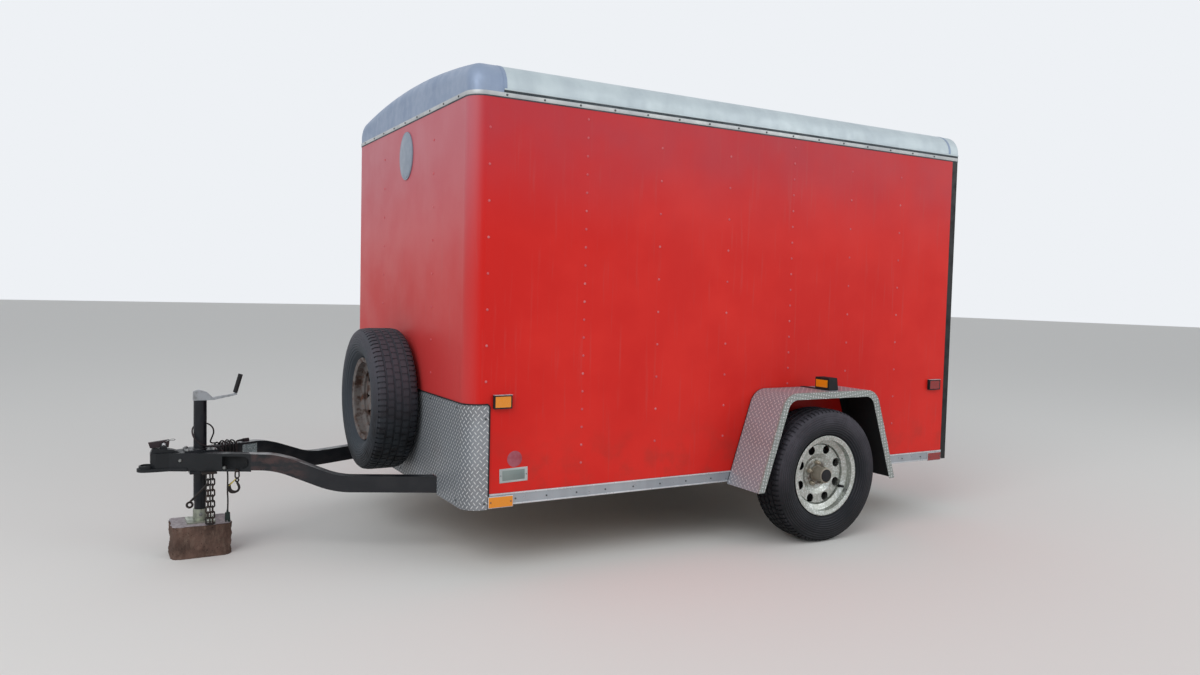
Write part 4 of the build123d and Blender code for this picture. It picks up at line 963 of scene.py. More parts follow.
# Roof seams: bands over the joints of the caps, and down the coves' inner edges
roofSeams = {"band": 0.016, "depth": 0.0012, "cove": 0.112, "crown": 0.065, "eave": 0.140, "foot": 0.038,
             "steps": 8, "archSteps": 12, "panel": 0.135, "bead": (0.02, 0.0018, 0.0016)}


def roofSection(inset=0.0):
    # The roof's cross-section from the left wall's top over to the right, as (y, z), inset from the skin
    eave, crown, cove = roofSeams["eave"], roofSeams["crown"], roofSeams["cove"]
    archRadius = (halfWidth ** 2 + crown ** 2) / (2 * crown)
    archMiddle = wallTop + eave + crown - archRadius
    # The cove's arc touches the wall and the arch
    middleY = halfWidth - cove
    middleZ = archMiddle + (((archRadius - cove) ** 2) - middleY ** 2) ** 0.5
    touch = atan2(middleZ - archMiddle, middleY)
    angles = anglesFrom(0, touch, roofSeams["steps"])
    bend = [(middleY + (cove - inset) * cos(a), middleZ + (cove - inset) * sin(a)) for a in angles]
    angles = anglesFrom(touch, pi / 2, roofSeams["archSteps"])[1:]
    arch = [((archRadius - inset) * cos(a), archMiddle + (archRadius - inset) * sin(a)) for a in angles]
    section = [(halfWidth - inset, wallTop + roofSeams["foot"])] + bend + arch
    return section + [(-y, z) for y, z in section[-2::-1]]


def addRoofSeams():
    section = roofSection()
    bands = []
    for x in (coveHigh.x, coveLow.x):
        route = [(x + roofSeams["band"] / 2, y, z) for y, z in section]
        bands.append(addRibbon(route, (-roofSeams["band"], 0, 0), roofSeams["depth"]))
    finishPiece(bands, "roofSeamBands", "weatheredCapAluminium", "roof_metal")
    wide, rise, depth = roofSeams["bead"]
    y = halfWidth - roofSeams["panel"]
    height = min(section, key=lambda point: abs(abs(point[0]) - y))[1]
    beads = [addStrip(coveLow.x, coveHigh.x, sign * y, height, (0, -sign * wide, rise), depth)
             for sign in (1, -1)]
    finishPiece(beads, "roofPanelSeams", "paleRoofSealant", "roof_metal")


# Wall rivets: columns on the posts, close together where two sheets lap; their heads are paler than the
# wall, a painted highlight
wallRivets = {
    "size": (0.0062, 0.0030),
    "lapped": ((0.386, -0.860), 2.050, 0.083),      # columns, highest rivet, pitch
    "plain": ((0.867, -0.022, -0.437, -1.280, -1.666), 1.962, 0.157),
    "front": ((0.438, -0.362), 1.962, 0.157),
    "lowest": 0.43,
    "frontLowest": 0.80,
    "clear": {"guard": 0.02, "fender": 0.01, "doorSide": 0.04, "doorTop": 0.03},
}


def addWallRivets():
    places = []
    clear = wallRivets["clear"]
    for kind in ("lapped", "plain"):
        columns, first, pitch = wallRivets[kind]
        for x in columns:
            for z in stepsDown(first, pitch, wallRivets["lowest"]):
                if x > guardLow.x - clear["guard"] and z < guardHigh.z + clear["guard"]:
                    continue
                if fenderLow.x < x < fenderHigh.x and z < fenderHigh.z + clear["fender"]:
                    continue
                places.append(((x, halfWidth, z), "left"))
                besideDoor = doorLow.x - clear["doorSide"] < x < doorHigh.x + clear["doorSide"]
                if not (besideDoor and z < doorHigh.z + clear["doorTop"]):
                    places.append(((x, -halfWidth, z), "right"))
    columns, first, pitch = wallRivets["front"]
    for y in columns:
        places += [((frontX, y, z), "front") for z in stepsDown(first, pitch, wallRivets["frontLowest"])]
    finishPiece([addHeads(places, *wallRivets["size"])], "wallRivets", "chalkedRivetEnamel", "red_skin")


addRoofEdge()
addRoofSeams()
addWallRivets()
print("roof edges, seams and rivets set")


# Stone guard: black edging along its top and ends, and screws
guardTrim = {
    "lip": (0.006, 0.003, 0.001),      # height, depth, bevel
    "lipRise": 0.002,
    "corner": 0.016,
    "cornerSteps": 4,
    "rod": (0.0032, 10),
    "rodProud": 0.0008,
    "screw": (0.0055, 0.003),
    "sideScrews": (0.018, (0.325, 0.700)),
    "frontScrews": {0.325: (-0.80, -0.30, 0.0, 0.30, 0.80), 0.740: (-0.80, -0.45, 0.45, 0.80)},
}


def addGuardTrim():
    proud, corner, steps = guardHigh.x - frontX, guardTrim["corner"], guardTrim["cornerSteps"]
    height, depth, bevel = guardTrim["lip"]
    route = raised(planRoute(proud, guardLow.x + corner), guardHigh.z - height + guardTrim["lipRise"])
    parts = [addRibbon(route, (0, 0, height), depth, bevel)]
    angles = anglesFrom(0, pi / 2, steps)
    bend = [(guardLow.x + corner * (1 - cos(a)), guardHigh.z - corner + corner * sin(a)) for a in angles]
    end, heights = guardTrim["sideScrews"]
    places = []
    for side, sign in bothSides:
        y = sign * (halfWidth + proud + guardTrim["rodProud"])
        for (fromX, fromZ), (toX, toZ) in zip([(guardLow.x, guardLow.z)] + bend, bend):
            parts.append(addRod((fromX, y, fromZ), (toX, y, toZ), *guardTrim["rod"]))
        places += [((guardLow.x + end, sign * (halfWidth + proud), z), side) for z in heights]
    finishPiece(parts, "guardEdging", "mouldedBlackPlastic", "black_plastic")
    for z, row in guardTrim["frontScrews"].items():
        places += [((frontX + proud, y, z), "front") for y in row]
    addScrews(places, "guardScrews", guardTrim["screw"])


# Rail trim: bright rolled edges above and below a dull face, riveted
railTrim = {"edge": 0.0075, "proud": 0.003, "bevel": 0.0012, "frontGap": 0.004, "rivet": (0.0045, 0.0025),
            "rivets": (0.716, 0.155), "lastRivet": 0.1, "rivetDrop": 0.030, "fenderGap": 0.02}


def addRailTrim():
    parts, places = [], []
    gap = railTrim["fenderGap"]
    for side, sign in bothSides:
        y = sign * trimHigh.y
        for low in (trimLow.z, trimHigh.z - railTrim["edge"]):
            parts.append(addStrip(skinX, guardLow.x - railTrim["frontGap"], y, low,
                                  (0, 0, railTrim["edge"]), railTrim["proud"], railTrim["bevel"]))
        for x in stepsDown(*railTrim["rivets"], skinX + railTrim["lastRivet"]):
            if not fenderLow.x - gap < x < fenderHigh.x + gap:
                places.append(((x, y, trimHigh.z - railTrim["rivetDrop"]), side))
    finishPiece(parts, "railTrimEdges", "brightEdgeAluminium", "bright_trim")
    addScrews(places, "railTrimRivets", railTrim["rivet"])


# Lamps on the sides: a dark base behind each lens and a bezel round it, whose black is partly a painted
# shadow at the lamp's left and bottom, and a bright hood over it, partly a painted highlight along its top;
# reflectors have a bright back and two screws. Middle, length and height are as seen from the side
sideLamps = {
    "rim": 0.006, "baseDepth": 0.010, "baseBevel": 0.003, "hoodReach": 0.023, "hoodSheet": 0.002,
    "hoodBevel": 0.0006, "lensDepth": 0.018, "stand": 0.0015, "recess": 0.003, "lap": 0.004,
    "bezelBevel": 0.0008, "back": 0.003, "backDepth": 0.0035, "backBevel": 0.001,
    "lamps": ((0.7900, 0.773, 0.074, 0.048), (-2.002, 0.765, 0.080, 0.048)),
    "reflectors": ((0.789, 0.328, 0.114, 0.046), (-2.036, 0.331, 0.108, 0.044)),
    "screw": (0.0035, 0.002), "screwInset": 0.009, "screwProud": 0.005,
}


def sidePad(sign, patch, rim, near, far, bevel):
    # A flat block on a side wall, wider than its patch by rim, from near to far across the trailer
    x, z, length, height = patch
    return addBox((x, sign * (near + far) / 2, z), (length + 2 * rim, far - near, height + 2 * rim), bevel)


def addSideLamps():
    bases, hoods, backs, places = [], [], [], []
    rim, recess, sheet = sideLamps["rim"], sideLamps["recess"], sideLamps["hoodSheet"]
    face = halfWidth + sideLamps["lensDepth"] + sideLamps["stand"]
    for side, sign in bothSides:
        for patch in sideLamps["lamps"]:
            x, z, length, height = patch
            bases.append(sidePad(sign, patch, rim, halfWidth, halfWidth + sideLamps["baseDepth"],
                                 sideLamps["baseBevel"]))
            bezel = sidePad(sign, patch, rim, face - 2 * recess, face, sideLamps["bezelBevel"])
            sinkFaces(bezel, lambda flat: sign * flat.normal.y > facing and flat.area > 0.001,
                      (rim + sideLamps["lap"], (0, -sign * recess, 0)))
            bases.append(bezel)
            hood = (x, z + height / 2 + rim + sheet / 2, length + 2 * rim, sheet)
            hoods.append(sidePad(sign, hood, 0, halfWidth, halfWidth + sideLamps["hoodReach"],
                                 sideLamps["hoodBevel"]))
        for patch in sideLamps["reflectors"]:
            near, far = trimHigh.y, trimHigh.y + sideLamps["backDepth"]
            backs.append(sidePad(sign, patch, sideLamps["back"], near, far, sideLamps["backBevel"]))
            x, z, length, height = patch
            y, reach = sign * (near + sideLamps["screwProud"]), length / 2 - sideLamps["screwInset"]
            places += [((x + end * reach, y, z), side) for end in (-1, 1)]
    # The black bases and bezels are partly painted shadow; the bright hoods partly a painted highlight
    finishPiece(bases, "sideLampBases", "mouldedBlackPlastic", "black_plastic")
    finishPiece(hoods, "sideLampHoods", "brightEdgeAluminium", "bright_trim")
    finishPiece(backs, "reflectorBacks", "brightEdgeAluminium", "bright_trim")
    addScrews(places, "reflectorScrews", sideLamps["screw"])


# Plates: the data plate and the round sticker stay blank, as does the badge on the front
plates = {
    "data": (0.7265, 0.4425, 0.137, 0.063), "dataSheet": 0.0012, "dataBevel": 0.0004, "dataRim": 0.006,
    "dataSink": 0.0004, "field": (0.7265, 0.4425, 0.109, 0.045), "fieldDepths": (0.0006, 0.0014),
    "fieldBevel": 0.0003, "tilt": radians(1.5), "pin": (0.0025, 0.0015),
    "disc": (0.723, 0.514, 0.036), "discSheet": 0.0006,
    "badge": (0.0245, 1.9365, 0.209, 0.243), "badgeDepth": 0.006, "badgeBevel": 0.0006,
    "badgeSteps": ((0.007, (-0.002, 0, 0)), (0.004, (0.0025, 0, 0))),
}


def addPlates():
    tilt, sheet = plates["tilt"], plates["dataSheet"]
    back = sidePad(1, plates["data"], 0, halfWidth, halfWidth + sheet, plates["dataBevel"])
    sinkFaces(back, lambda face: face.normal.y > facing and face.area > 0.005,
              (plates["dataRim"], (0, -plates["dataSink"], 0)))
    back.rotation_euler = (0, tilt, 0)
    finishPiece([back], "dataPlate", "etchedDataPlate", "bright_trim")
    near, far = plates["fieldDepths"]
    field = sidePad(1, plates["field"], 0, halfWidth + near, halfWidth + far, plates["fieldBevel"])
    field.rotation_euler = (0, tilt, 0)
    finishPiece([field], "dataPlateField", "etchedPlateField", "bright_trim")
    x, z, length, height = plates["data"]
    reach = length / 2 - plates["dataRim"]
    places = [((x + end * reach, halfWidth + sheet, z), "left") for end in (-1, 1)]
    addScrews(places, "dataPlatePins", plates["pin"])
    x, z, radius = plates["disc"]
    disc = addRod((x, halfWidth, z), (x, halfWidth + plates["discSheet"], z), radius, 40)
    finishPiece([disc], "roundSticker", "fadedVinylDisc", "red_skin", smooth=30)
    y, z, width, height = plates["badge"]
    badge = addRod((frontX, 0, 0), (frontX + plates["badgeDepth"], 0, 0), 0.5, 48)
    bpy.ops.object.transform_apply(location=True, rotation=True, scale=True)
    badge.scale = (1, width, height)
    badge.location = (0, y, z)
    bpy.ops.object.transform_apply(location=True, rotation=False, scale=True)
    sinkFaces(badge, lambda face: face.normal.x > facing, *plates["badgeSteps"])
    finishPiece([bevelEdges(badge, plates["badgeBevel"])], "frontBadge", "castBadge", "bright_trim")


addGuardTrim()
addRailTrim()
addSideLamps()
addPlates()
print("guard, trims, lamps and plates set")


# Fenders: black undercoat inside, and screws through the inner flange
fenderForm = {
    "top": 0.785, "foot": 0.300, "halfTop": 0.312, "halfFoot": 0.472, "bend": 0.095, "sheet": 0.003,
    "steps": 8, "liner": 0.001, "linerGaps": (0.0065, 0.0035),
    "linerLine": (0.0019, 0.302),      # inset and foot, as in the screws' line
    "screwLine": (0.018, 0.350), "screwEvery": 5, "flange": 0.006, "screw": (0.006, 0.004, 6),
}


def fenderLine(inset, foot):
    # The bent sheet in side view, from the rear foot over to the front one, inset from its middle
    form = fenderForm
    lean = atan2(form["halfFoot"] - form["halfTop"], form["top"] - form["foot"])
    half = (pi / 2 - lean) / 2
    cornerX = form["halfTop"] - inset * tan(half)
    cornerZ = form["top"] - form["sheet"] / 2 - inset
    radius = form["bend"] - inset
    middleX, middleZ = cornerX - radius * tan(half), cornerZ - radius
    angles = anglesFrom(pi / 2, lean, form["steps"])
    line = [(middleX + radius * cos(a), middleZ + radius * sin(a)) for a in angles]
    line.append((cornerX + (cornerZ - foot) * tan(lean), foot))
    return [(-x, z) for x, z in line[::-1]] + line


def addFenderTrim():
    form = fenderForm
    liners, places = [], []
    low, high = halfWidth + form["linerGaps"][0], fenderHigh.y - form["linerGaps"][1]
    for side, sign in bothSides:
        y = low if sign > 0 else -high
        route = [(fenderMiddle + x, y, z) for x, z in fenderLine(*form["linerLine"])]
        liners.append(addRibbon(route, (0, high - low, 0), form["liner"]))
        row = fenderLine(*form["screwLine"])[::form["screwEvery"]]
        places += [((fenderMiddle + x, sign * (halfWidth + form["flange"]), z), side) for x, z in row]
    finishPiece(liners, "fenderUndercoat", "blackUndercoat", "black_plastic")
    addScrews(places, "fenderScrews", form["screw"])


# Wheels: a black drum behind each disc and the plate it turns against, both as (across, radius) rows, lug
# nuts, a grease cap with its rubber plug, and the valve. Bars stand out from the wheel's middle, and the
# cap's and the plug's from the hub's face
wheelParts = {
    "drum": ((-0.062, 0.050), (-0.062, 0.146), (-0.058, 0.150), (-0.022, 0.150), (-0.014, 0.144),
             (-0.012, 0.118), (-0.012, 0.050)),
    "plate": ((-0.078, 0.055), (-0.078, 0.174), (-0.075, 0.177), (-0.071, 0.177), (-0.068, 0.174),
              (-0.072, 0.146), (-0.074, 0.055)),
    "turnedSides": 64, "lugCircle": 0.05715, "lugs": 5,
    "nut": ((0.005, 0.0218, 0.0128, 6, None, 0.001), (0.0208, 0.029, 0.01024, 12, 0.00512, 0.001),
            (0.027, 0.033, 0.0045, 10)),
    "cap": [(-0.010, 0.0015, 0.0395, 48, None, 0.0015)],
    "collar": [(0.006, 0.013, 0.042, 48, None, 0.0015)],
    "plug": [(0, 0.006, 0.0325, 40, None, 0.002)], "plugSink": (0.008, 0.002),
    "valveTurn": radians(118), "valveFoot": (0.030, 0.160), "valveTip": (0.062, 0.150),
    "stem": (0.0085, 14, 0.0060), "valveCap": (0.0068, 14, None, 0.001), "valveCapLength": 0.012,
}


def addWheelParts(side, sign):
    parts = wheelParts
    x, y, z = middleOf("tyre_" + side)
    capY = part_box("hub_" + side)[1 if sign > 0 else 0].y
    title, body = side.capitalize(), "wheel_" + side
    # The drums and plates are black; their black is partly painted shade, seen through the wheel disc's
    # holes
    for name, rides in (("drum", body), ("plate", "trailer")):
        rows = [(sign * across, radius) for across, radius in parts[name]]
        turned = addLathe((x, y, z), 1, rows, parts["turnedSides"])
        finishPiece([turned], "brake" + name.capitalize() + title, "blackUndercoat", "black_steel", rides)
    nuts = []
    for i in range(parts["lugs"]):
        angle, reach = 2 * pi * i / parts["lugs"], parts["lugCircle"]
        nuts += addRods(x + reach * sin(angle), y, z + reach * cos(angle), sign, parts["nut"])
    finishPiece(nuts, "lugNuts" + title, "rustyLugNut", "rusty_steel", body)
    caps = addRods(x, capY, z, sign, parts["cap"]) + addRods(x, y, z, sign, parts["collar"])
    finishPiece(caps, "greaseCap" + title, "agedHubCap", "zinc_steel", body)
    plug = addRods(x, capY, z, sign, parts["plug"])[0]
    inset, sink = parts["plugSink"]
    sinkFaces(plug, lambda face: sign * face.normal.y > facing and face.area > 0.001,
              (inset, (0, -sign * sink, 0)))
    finishPiece([plug], "greasePlug" + title, "mouldedBlackPlastic", "black_plastic", body)
    away = Vector((-sin(parts["valveTurn"]), 0, cos(parts["valveTurn"])))
    foot, tip = [Vector((x, y + sign * across, z)) + away * reach
                 for across, reach in (parts["valveFoot"], parts["valveTip"])]
    stem = addRod(foot, tip, *parts["stem"])
    cap = addRod(tip, tip + (tip - foot).normalized() * parts["valveCapLength"], *parts["valveCap"])
    finishPiece([stem, cap], "valve" + title, "mouldedBlackPlastic", "black_plastic", body)


# Stone block: its corners knocked off and its sides split, flat underneath and where the jack stands
stoneBlock = {"corner": 0.045, "cornerSteps": 3, "voxel": 0.006, "flat": 0.004, "rim": 0.008,
              "rimShare": 0.5, "level": 0.72,
              "grains": {"splitFace": (0.045, 0.022), "splitGrit": (0.009, 0.0055)}}


def addStone():
    low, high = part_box("foot_block")
    block = addBlock(low, high)
    bpy.ops.object.transform_apply(location=True, rotation=True, scale=True)
    selectWhere(block, "edges", lambda edge: edgeEnds(block, edge)[0].xy == edgeEnds(block, edge)[1].xy)
    bpy.ops.mesh.bevel(offset=stoneBlock["corner"], segments=stoneBlock["cornerSteps"], affect='EDGES')
    bpy.ops.object.mode_set(mode='OBJECT')
    applyModifier(block, 'REMESH', mode='VOXEL', voxel_size=stoneBlock["voxel"])
    broken = block.vertex_groups.new(name="broken")
    flat, rim = stoneBlock["flat"], stoneBlock["rim"]
    middleX, halfX = (low.x + high.x) / 2, (high.x - low.x) / 2
    for vertex in block.data.vertices:
        x, y, z = vertex.co
        if low.z + flat < z < high.z - flat:
            broken.add([vertex.index], 1, 'REPLACE')
        elif z >= high.z - flat and (abs(y) > high.y - rim or abs(x - middleX) > halfX - rim):
            broken.add([vertex.index], stoneBlock["rimShare"], 'REPLACE')
    for name, (grain, depth) in stoneBlock["grains"].items():
        texture = bpy.data.textures.new(name, 'CLOUDS')
        texture.noise_scale = grain
        applyModifier(block, 'DISPLACE', texture=texture, strength=depth, mid_level=stoneBlock["level"],
                      vertex_group="broken")
    finishPiece([block], "splitBlock", "splitConcreteBlock", "split_stone", "jack_leg", smooth=50)
    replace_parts(block, "foot_block")


# Safety chains: welded links of round wire, a rod with its loop, and two hooks with their latches
chain = {
    "link": (0.0085, 0.0035, 0.01575),      # the ring's radius, the wire's, and how far its halves are apart
    "pitch": 0.0254, "links": 9, "strands": (1.8955, 1.8760), "y": 0.131, "top": 0.3795,
    "footDrop": 0.0165, "foot": ((-0.018, -0.007, 0.004), (-0.020, 0.007, 0.004), (0, 0.009, -0.002),
                                 (0.020, 0.007, 0.004), (0.018, -0.007, 0.004), (0, -0.009, -0.002)),
    "short": (1.7780, 0.180, 0.3905),
    "rod": ((1.8955, 0.1395, 0.350), (1.967, 0.075, 0.256), 0.005, 12), "rodLoop": (0.012, 0.005, 0, 20),
    "eye": 0.0075, "eyeDrop": 0.0265, "hookTurns": (20, -45), "hookWire": 0.0052, "latchWire": 0.0021,
    "hook": ((0, -0.0117), (-0.0117, -0.0273), (-0.0091, -0.0455), (0.0052, -0.05525), (0.0286, -0.0533),
             (0.0403, -0.0403), (0.0403, -0.0221)),
    "latch": ((0.0078, 0.0052), (0.0182, -0.0052), (0.0312, -0.0156), (0.039, -0.0208)),
    "tabs": (((1.773, 0.1455, 0.400), (1.783, 0.1835, 0.412)),
             ((1.858, 0.097, 0.392), (1.921, 0.143, 0.400))),
    "tabBevel": 0.0015,
}


def addChains():
    upright, crossed = (pi / 2, 0, 0), (pi / 2, 0, pi / 2)
    pitch, wire = chain["pitch"], chain["link"][1]
    places = []
    for first, x in enumerate(chain["strands"]):
        places += [((x, chain["y"], chain["top"] - i * pitch), crossed if (i + first) % 2 else upright)
                   for i in range(chain["links"])]
    places.append((chain["short"], upright))
    # The link is centred on its own middle, so that it can be turned in its place
    link = joinPieces([addLoop((0, -chain["link"][2] / 2, 0), (0, 0, 0), *chain["link"])])
    bpy.ops.object.transform_apply(location=True, rotation=True, scale=True)
    strands = repeatAt(link, places)
    foot = Vector((sum(chain["strands"]) / 2, chain["y"],
                   chain["top"] - (chain["links"] - 1) * pitch - chain["footDrop"]))
    turn = addWire([foot + Vector(spot) for spot in chain["foot"]], wire, closed=True)
    start, end, *size = chain["rod"]
    loopPlace = Vector(end) - Vector((0, 0, chain["rodLoop"][0]))
    parts = [strands, turn, addRod(start, end, *size), addLoop(loopPlace, upright, *chain["rodLoop"])]
    latches = []
    eyePlace = Vector(chain["short"]) - Vector((0, 0, chain["eyeDrop"]))
    for turned in chain["hookTurns"]:
        side = Vector((cos(radians(turned)), sin(radians(turned)), 0))
        hook, latch = [[eyePlace + side * out + Vector((0, 0, up)) for out, up in chain[key]]
                       for key in ("hook", "latch")]
        parts.append(addLoop(eyePlace, (pi / 2, 0, radians(turned)), chain["eye"], wire))
        parts.append(addWire(hook, chain["hookWire"], resolution=6))
        latches.append(addWire(latch, chain["latchWire"]))
    parts += [addBlock(low, high, chain["tabBevel"]) for low, high in chain["tabs"]]
    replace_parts(finishPiece(parts, "safetyChain", "rustedChainSteel", "black_steel"), "safety_chains")
    finishPiece(latches, "hookLatches", "brassySpringWire", "zinc_steel")


addFenderTrim()
for side, sign in bothSides:
    addWheelParts(side, sign)
addChains()
addStone()
print("fenders, wheel fittings, chains and stone block made")


# Doors: aluminium edging on each, hinge screws, the lock bars' collars and keepers, and a drip rail. Boxes
# are given from the bar or the latch by middle, size and bevel
doorTrim = {
    "edge": 0.022, "sheet": 0.0015, "gap": 0.0005, "bevel": 0.0005, "leaf": 0.003, "screw": (0.0042, 0.0024),
    "screwReach": (0.022, 0.036), "screwDrops": (-0.045, 0.0, 0.045),
    "rearHinges": (0.655, 1.222, 1.790), "rearPin": 0.8615,
    "sideHinges": (0.600, 1.196, 1.792), "sidePin": 0.003,
    "barX": -2.162, "barY": 0.095, "guides": (0.470, 0.980, 1.460, 1.970),
    "guideScrews": (0.015, 0.022, 0.014),
    "collar": (0.014, 20, None, 0.001), "collars": ((-0.036, -0.026), (0.026, 0.036)),
    "clawOut": 0.001, "claws": {0.368: 0.374, 2.072: 2.066}, "claw": ((0.026, 0.034, 0.012), 0.003),
    "keepers": (-0.030, 0.030), "keeper": ((0.030, 0.010, 0.024), 0.003), "handleZ": 1.120,
    "grip": (-0.034, 0.28025, 1.120, (0.011, 0.0855, 0.035), 0.005),
    "hasp": (-0.013, 0.190, 1.095, (0.026, 0.032, 0.010), 0.002),
    "pivot": ((-0.0415, -0.038), (0.010, 20, None, 0.001)),
    "latch": (0.019, 1.180), "latchScrews": ((0.010, 0.070), (-0.058, 0.058), 0.014),
    "lock": (0.040, -0.040, (-0.013, -0.018), (0.010, 24, None, 0.0015)),
    "drip": (0.018, 0.008), "dripGaps": (0.05, 0.012), "dripRound": (0.0064, 4),
}


def addEdging(body, name, axis):
    # Four flat strips round a door's outer face, which looks back where axis is 0 and right where it is 1
    low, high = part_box(body)
    edge, gap = doorTrim["edge"], doorTrim["gap"]
    start, end, bottom, top = low[1 - axis] + gap, high[1 - axis] - gap, low.z + gap, high.z - gap
    parts = []
    for a, b, c, d in ((start, start + edge, bottom, top), (end - edge, end, bottom, top),
                       (start + edge, end - edge, bottom, bottom + edge),
                       (start + edge, end - edge, top - edge, top)):
        corners = [[a, c], [b, d]]
        corners[0].insert(axis, low[axis] - doorTrim["sheet"])
        corners[1].insert(axis, low[axis])
        parts.append(addBlock(*corners, doorTrim["bevel"]))
    finishPiece(parts, name, "extrudedTrimAluminium", "bright_trim", body)


def leafScrews(hinges):
    # How far from the pin and how high each screw of a door's hinge leaves stands
    return [(reach, z + drop) for z in hinges for drop in doorTrim["screwDrops"]
            for reach in doorTrim["screwReach"]]


def addRearDoorTrim():
    trim = doorTrim
    fixed, keepers = [], []
    for side, sign in bothSides:
        title, body = side.capitalize(), "rear_door_" + side
        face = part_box(body)[0].x
        addEdging(body, "rearDoorEdging" + title, 0)
        pinY, y, x = sign * trim["rearPin"], sign * trim["barY"], trim["barX"]
        places = []
        for reach, z in leafScrews(trim["rearHinges"]):
            places.append(((face - trim["leaf"], pinY - sign * reach, z), "rear"))
            fixed.append(((face - trim["leaf"], pinY + sign * reach, z), "rear"))
        out, reach, rise = trim["guideScrews"]
        places += [((x - out, y + i * reach, z + j * rise), "rear") for z in trim["guides"]
                   for i in (-1, 1) for j in (1, -1)]
        addScrews(places, "rearDoorScrews" + title, trim["screw"], body)
        parts = [addRod((x, y, z + low), (x, y, z + high), *trim["collar"])
                 for z in trim["guides"] for low, high in trim["collars"]]
        for z, middle in trim["claws"].items():
            parts.append(addBox((x + trim["clawOut"], y, middle), *trim["claw"]))
            size, bevel = trim["keeper"]
            keepers += [addBox((rearX - size[0] / 2, y + off, z), size, bevel) for off in trim["keepers"]]
        for out, across, z, size, bevel in (trim["grip"], trim["hasp"]):
            parts.append(addBox((rearX + out, sign * across, z), size, bevel))
        (near, far), size = trim["pivot"]
        parts.append(addRod((rearX + near, y, trim["handleZ"]), (rearX + far, y, trim["handleZ"]), *size))
        finishPiece(parts, "lockBarFittings" + title, "zincPlating", "zinc_steel", body)
    addScrews(fixed, "rearPostScrews", trim["screw"])
    finishPiece(keepers, "lockKeepers", "zincPlating", "zinc_steel")


def addSideDoorTrim():
    trim = doorTrim
    face, pinX = doorLow.y, doorHigh.x + trim["sidePin"]
    addEdging("side_door", "sideDoorEdging", 1)
    moving, fixed = [], []
    for reach, z in leafScrews(trim["sideHinges"]):
        moving.append(((pinX - reach, face - trim["leaf"], z), "right"))
        fixed.append(((pinX + reach, face - trim["leaf"], z), "right"))
    plateX, latchZ = doorLow.x + trim["latch"][0], trim["latch"][1]
    columns, rows, out = trim["latchScrews"]
    moving += [((plateX + x, face - out, latchZ + z), "right") for x in columns for z in rows]
    addScrews(moving, "sideDoorScrews", trim["screw"], "side_door")
    addScrews(fixed, "sidePostScrews", trim["screw"])
    x, z, (near, far), size = trim["lock"]
    barrel = addRod((plateX + x, face + near, latchZ + z), (plateX + x, face + far, latchZ + z), *size)
    finishPiece([barrel], "sideDoorLock", "zincPlating", "zinc_steel", "side_door")
    (reach, height), (beyond, above) = trim["drip"], trim["dripGaps"]
    foot = doorHigh.z + above
    rail = addBlock((doorLow.x - beyond, face - reach, foot), (doorHigh.x + beyond, face, foot + height))
    selectWhere(rail, "edges", lambda edge: all(end.y < 0 < end.z for end in edgeEnds(rail, edge)))
    bpy.ops.mesh.bevel(offset=trim["dripRound"][0], segments=trim["dripRound"][1], affect='EDGES')
    finishPiece([rail], "dripRail", "extrudedTrimAluminium", "bright_trim")


# Inside: plywood liners on the walls and doors, and steel bows under the roof
inside = {"sheet": 0.003, "bevel": 0.0005, "floor": 0.385, "top": 2.085, "wall": 0.038, "doorGap": 0.012,
          "back": 0.002, "front": 0.838, "frontLiner": ((0.911, -0.838), (0.914, 0.838)), "margin": 0.022,
          "bows": (-1.86, -1.45, -1.04, -0.63, -0.22, 0.19, 0.60), "bow": (0.030, 0.022, 0.002),
          "skin": 0.030}


def addDoorLiner(body, name, axis):
    # On the door's inner face, which looks ahead along X where axis is 0 and left along Y where it is 1
    low, high = [list(corner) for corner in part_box(body)]
    low[axis], high[axis] = high[axis], high[axis] + inside["sheet"]
    for other in (1 - axis, 2):
        low[other] += inside["margin"]
        high[other] -= inside["margin"]
    finishPiece([addBlock(low, high, inside["bevel"])], name, "lauanWallLiner", "plywood", body)


def addLiners():
    sheet, floorZ, top, front = inside["sheet"], inside["floor"], inside["top"], inside["front"]
    back, inner, bevel = skinX + inside["back"], halfWidth - inside["wall"], inside["bevel"]
    doorBack, doorFront = doorLow.x - inside["doorGap"], doorHigh.x + inside["doorGap"]
    parts = [addBlock((back, inner - sheet, floorZ), (front, inner, top), bevel)]
    for x0, x1, z0 in ((back, doorBack, floorZ), (doorFront, front, floorZ),
                       (doorBack, doorFront, doorHigh.z + inside["doorGap"])):
        parts.append(addBlock((x0, -inner, z0), (x1, -inner + sheet, top), bevel))
    low, high = inside["frontLiner"]
    parts.append(addBlock((*low, floorZ), (*high, top), bevel))
    finishPiece(parts, "wallLiners", "lauanWallLiner", "plywood")
    for side in ("left", "right"):
        addDoorLiner("rear_door_" + side, "rearDoorLiner" + side.capitalize(), 0)
    addDoorLiner("side_door", "sideDoorLiner", 1)
    width, depth, bevel = inside["bow"]
    section = roofSection(inside["skin"])[2:-2]
    bows = [addRibbon([(x - width / 2, y, z) for y, z in section], (width, 0, 0), depth, bevel)
            for x in inside["bows"]]
    finishPiece(bows, "roofBows", "zincPlating", "zinc_steel")


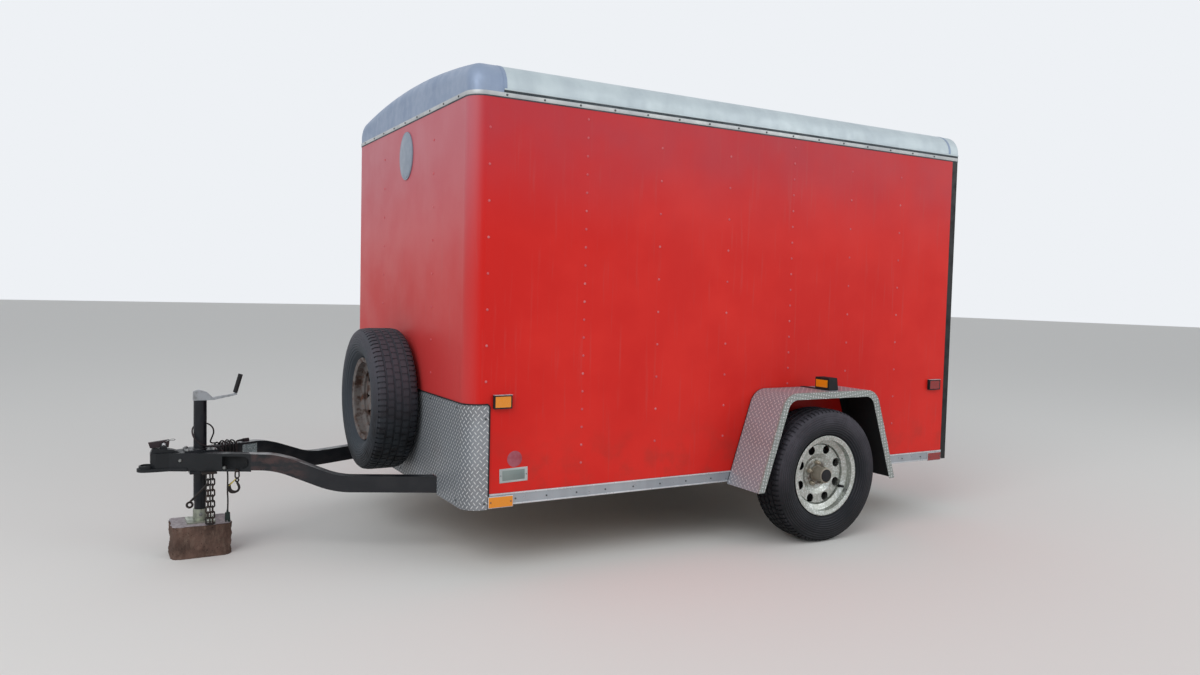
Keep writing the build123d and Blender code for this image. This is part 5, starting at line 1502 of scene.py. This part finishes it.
# Bolts and nuts, by size, finish, slot and places, then the latch's clip, the tongue's welds, and the
# foot's pin with its ring
jackX, flangeTop = 1.916, 0.490
bolts = {
    "jackBolts": ((0.009, 0.007, 6), "zincPlating", "zinc_steel",
                  [((jackX + i * 0.056, j * 0.046, flangeTop), "up") for i in (-1, 1) for j in (-1, 1)]),
    "couplerBolts": ((0.0095, 0.008, 6), "zincPlating", "zinc_steel",
                     [((2.005, 0.0592, 0.449), "leftArm"), ((1.827, 0.1421, 0.418), "leftArm"),
                      ((2.005, -0.0592, 0.449), "rightArm"), ((1.827, -0.1421, 0.418), "rightArm")]),
    "latchBolt": ((0.010, 0.010, 6), "brightEdgeAluminium", "zinc_steel",
                  [((2.070, 0.013, 0.520), "left"), ((2.070, -0.013, 0.520), "right")]),
    "spareNuts": ((0.011, 0.012, 6), "rustyLugNut", "rusty_steel",
                  [((1.0795, 0.0, 0.7245), "front"), ((1.0795, 0.0272, 0.6802), "front"),
                   ((1.0795, -0.0272, 0.6802), "front")]),
}
clip = {"wire": 0.0013, "route": ((2.062, 0.012, 0.532), (2.048, 0.014, 0.541), (2.032, 0.016, 0.545),
                                  (2.020, 0.012, 0.540), (2.028, 0.008, 0.535), (2.046, 0.008, 0.538),
                                  (2.058, 0.009, 0.530))}
welds = {"round": (0.0295, 12, 0.0045), "straight": (1.7215, 0.1628, 0.0241, 0.0035),
         "heights": (0.402, 0.478)}
footPin = {"z": 0.186, "pin": (-0.040, 0.040, 0.0048, 14, None, 0.001),
           "head": (0.0385, 0.0425, 0.0085, 18, None, 0.001), "ring": (-0.038, 0.012, 0.0013)}


def addBolts(*names):
    for name in names:
        size, finish, slotName, places = bolts[name]
        finishPiece([addHeads(places, *size)], name, finish, slotName)


def addTongueFittings():
    wire = addWire(clip["route"], clip["wire"], resolution=6)
    finishPiece([wire], "latchClip", "zincPlating", "zinc_steel")
    radius, count, bead = welds["round"]
    ring = [(jackX + radius * cos(a), radius * sin(a), flangeTop)
            for a in anglesFrom(0, 2 * pi, count)[:-1]]
    beads = [addWire(ring, bead, closed=True, resolution=3)]
    x, middle, half, bead = welds["straight"]
    for sign in (1, -1):
        for z in welds["heights"]:
            route = [(x, sign * (middle + off), z) for off in (half, 0, -half)]
            beads.append(addWire(route, bead, resolution=3))
    finishPiece(beads, "tongueWelds", "blackCouplerEnamel", "black_steel")
    y, radius, wire = footPin["ring"]
    parts = addRods(jackX, 0, footPin["z"], 1, (footPin["pin"], footPin["head"]))
    parts.append(addLoop((jackX, y, footPin["z"] - radius), (0, pi / 2, 0), radius, wire, 0, 20))
    finishPiece(parts, "footPin", "zincPlating", "zinc_steel", "jack_leg")


# Tail lamps: dark housings behind the red lenses, with their screws
tailLamps = {"y": 0.760, "z": 0.3495, "size": (0.010, 0.174, 0.067), "bevel": 0.002,
             "screws": (0.014, 0.070, 0.006), "screw": (0.0035, 0.002)}


def addTailLamps():
    housings, places = [], []
    out, reach, drop = tailLamps["screws"]
    size, z = tailLamps["size"], tailLamps["z"]
    for sign in (1, -1):
        y = sign * tailLamps["y"]
        housings.append(addBox((rearX - size[0] / 2, y, z), size, tailLamps["bevel"]))
        places += [((rearX - out, y + end * reach, z - drop), "rear") for end in (-1, 1)]
    finishPiece(housings, "tailLampBases", "mouldedBlackPlastic", "black_plastic")
    addScrews(places, "tailLampScrews", tailLamps["screw"])


addRearDoorTrim()
addSideDoorTrim()
addLiners()
addBolts("jackBolts", "couplerBolts", "latchBolt")
addTongueFittings()
addBolts("spareNuts")
addTailLamps()
print("doors, liners, tongue fittings and tail lamps made")
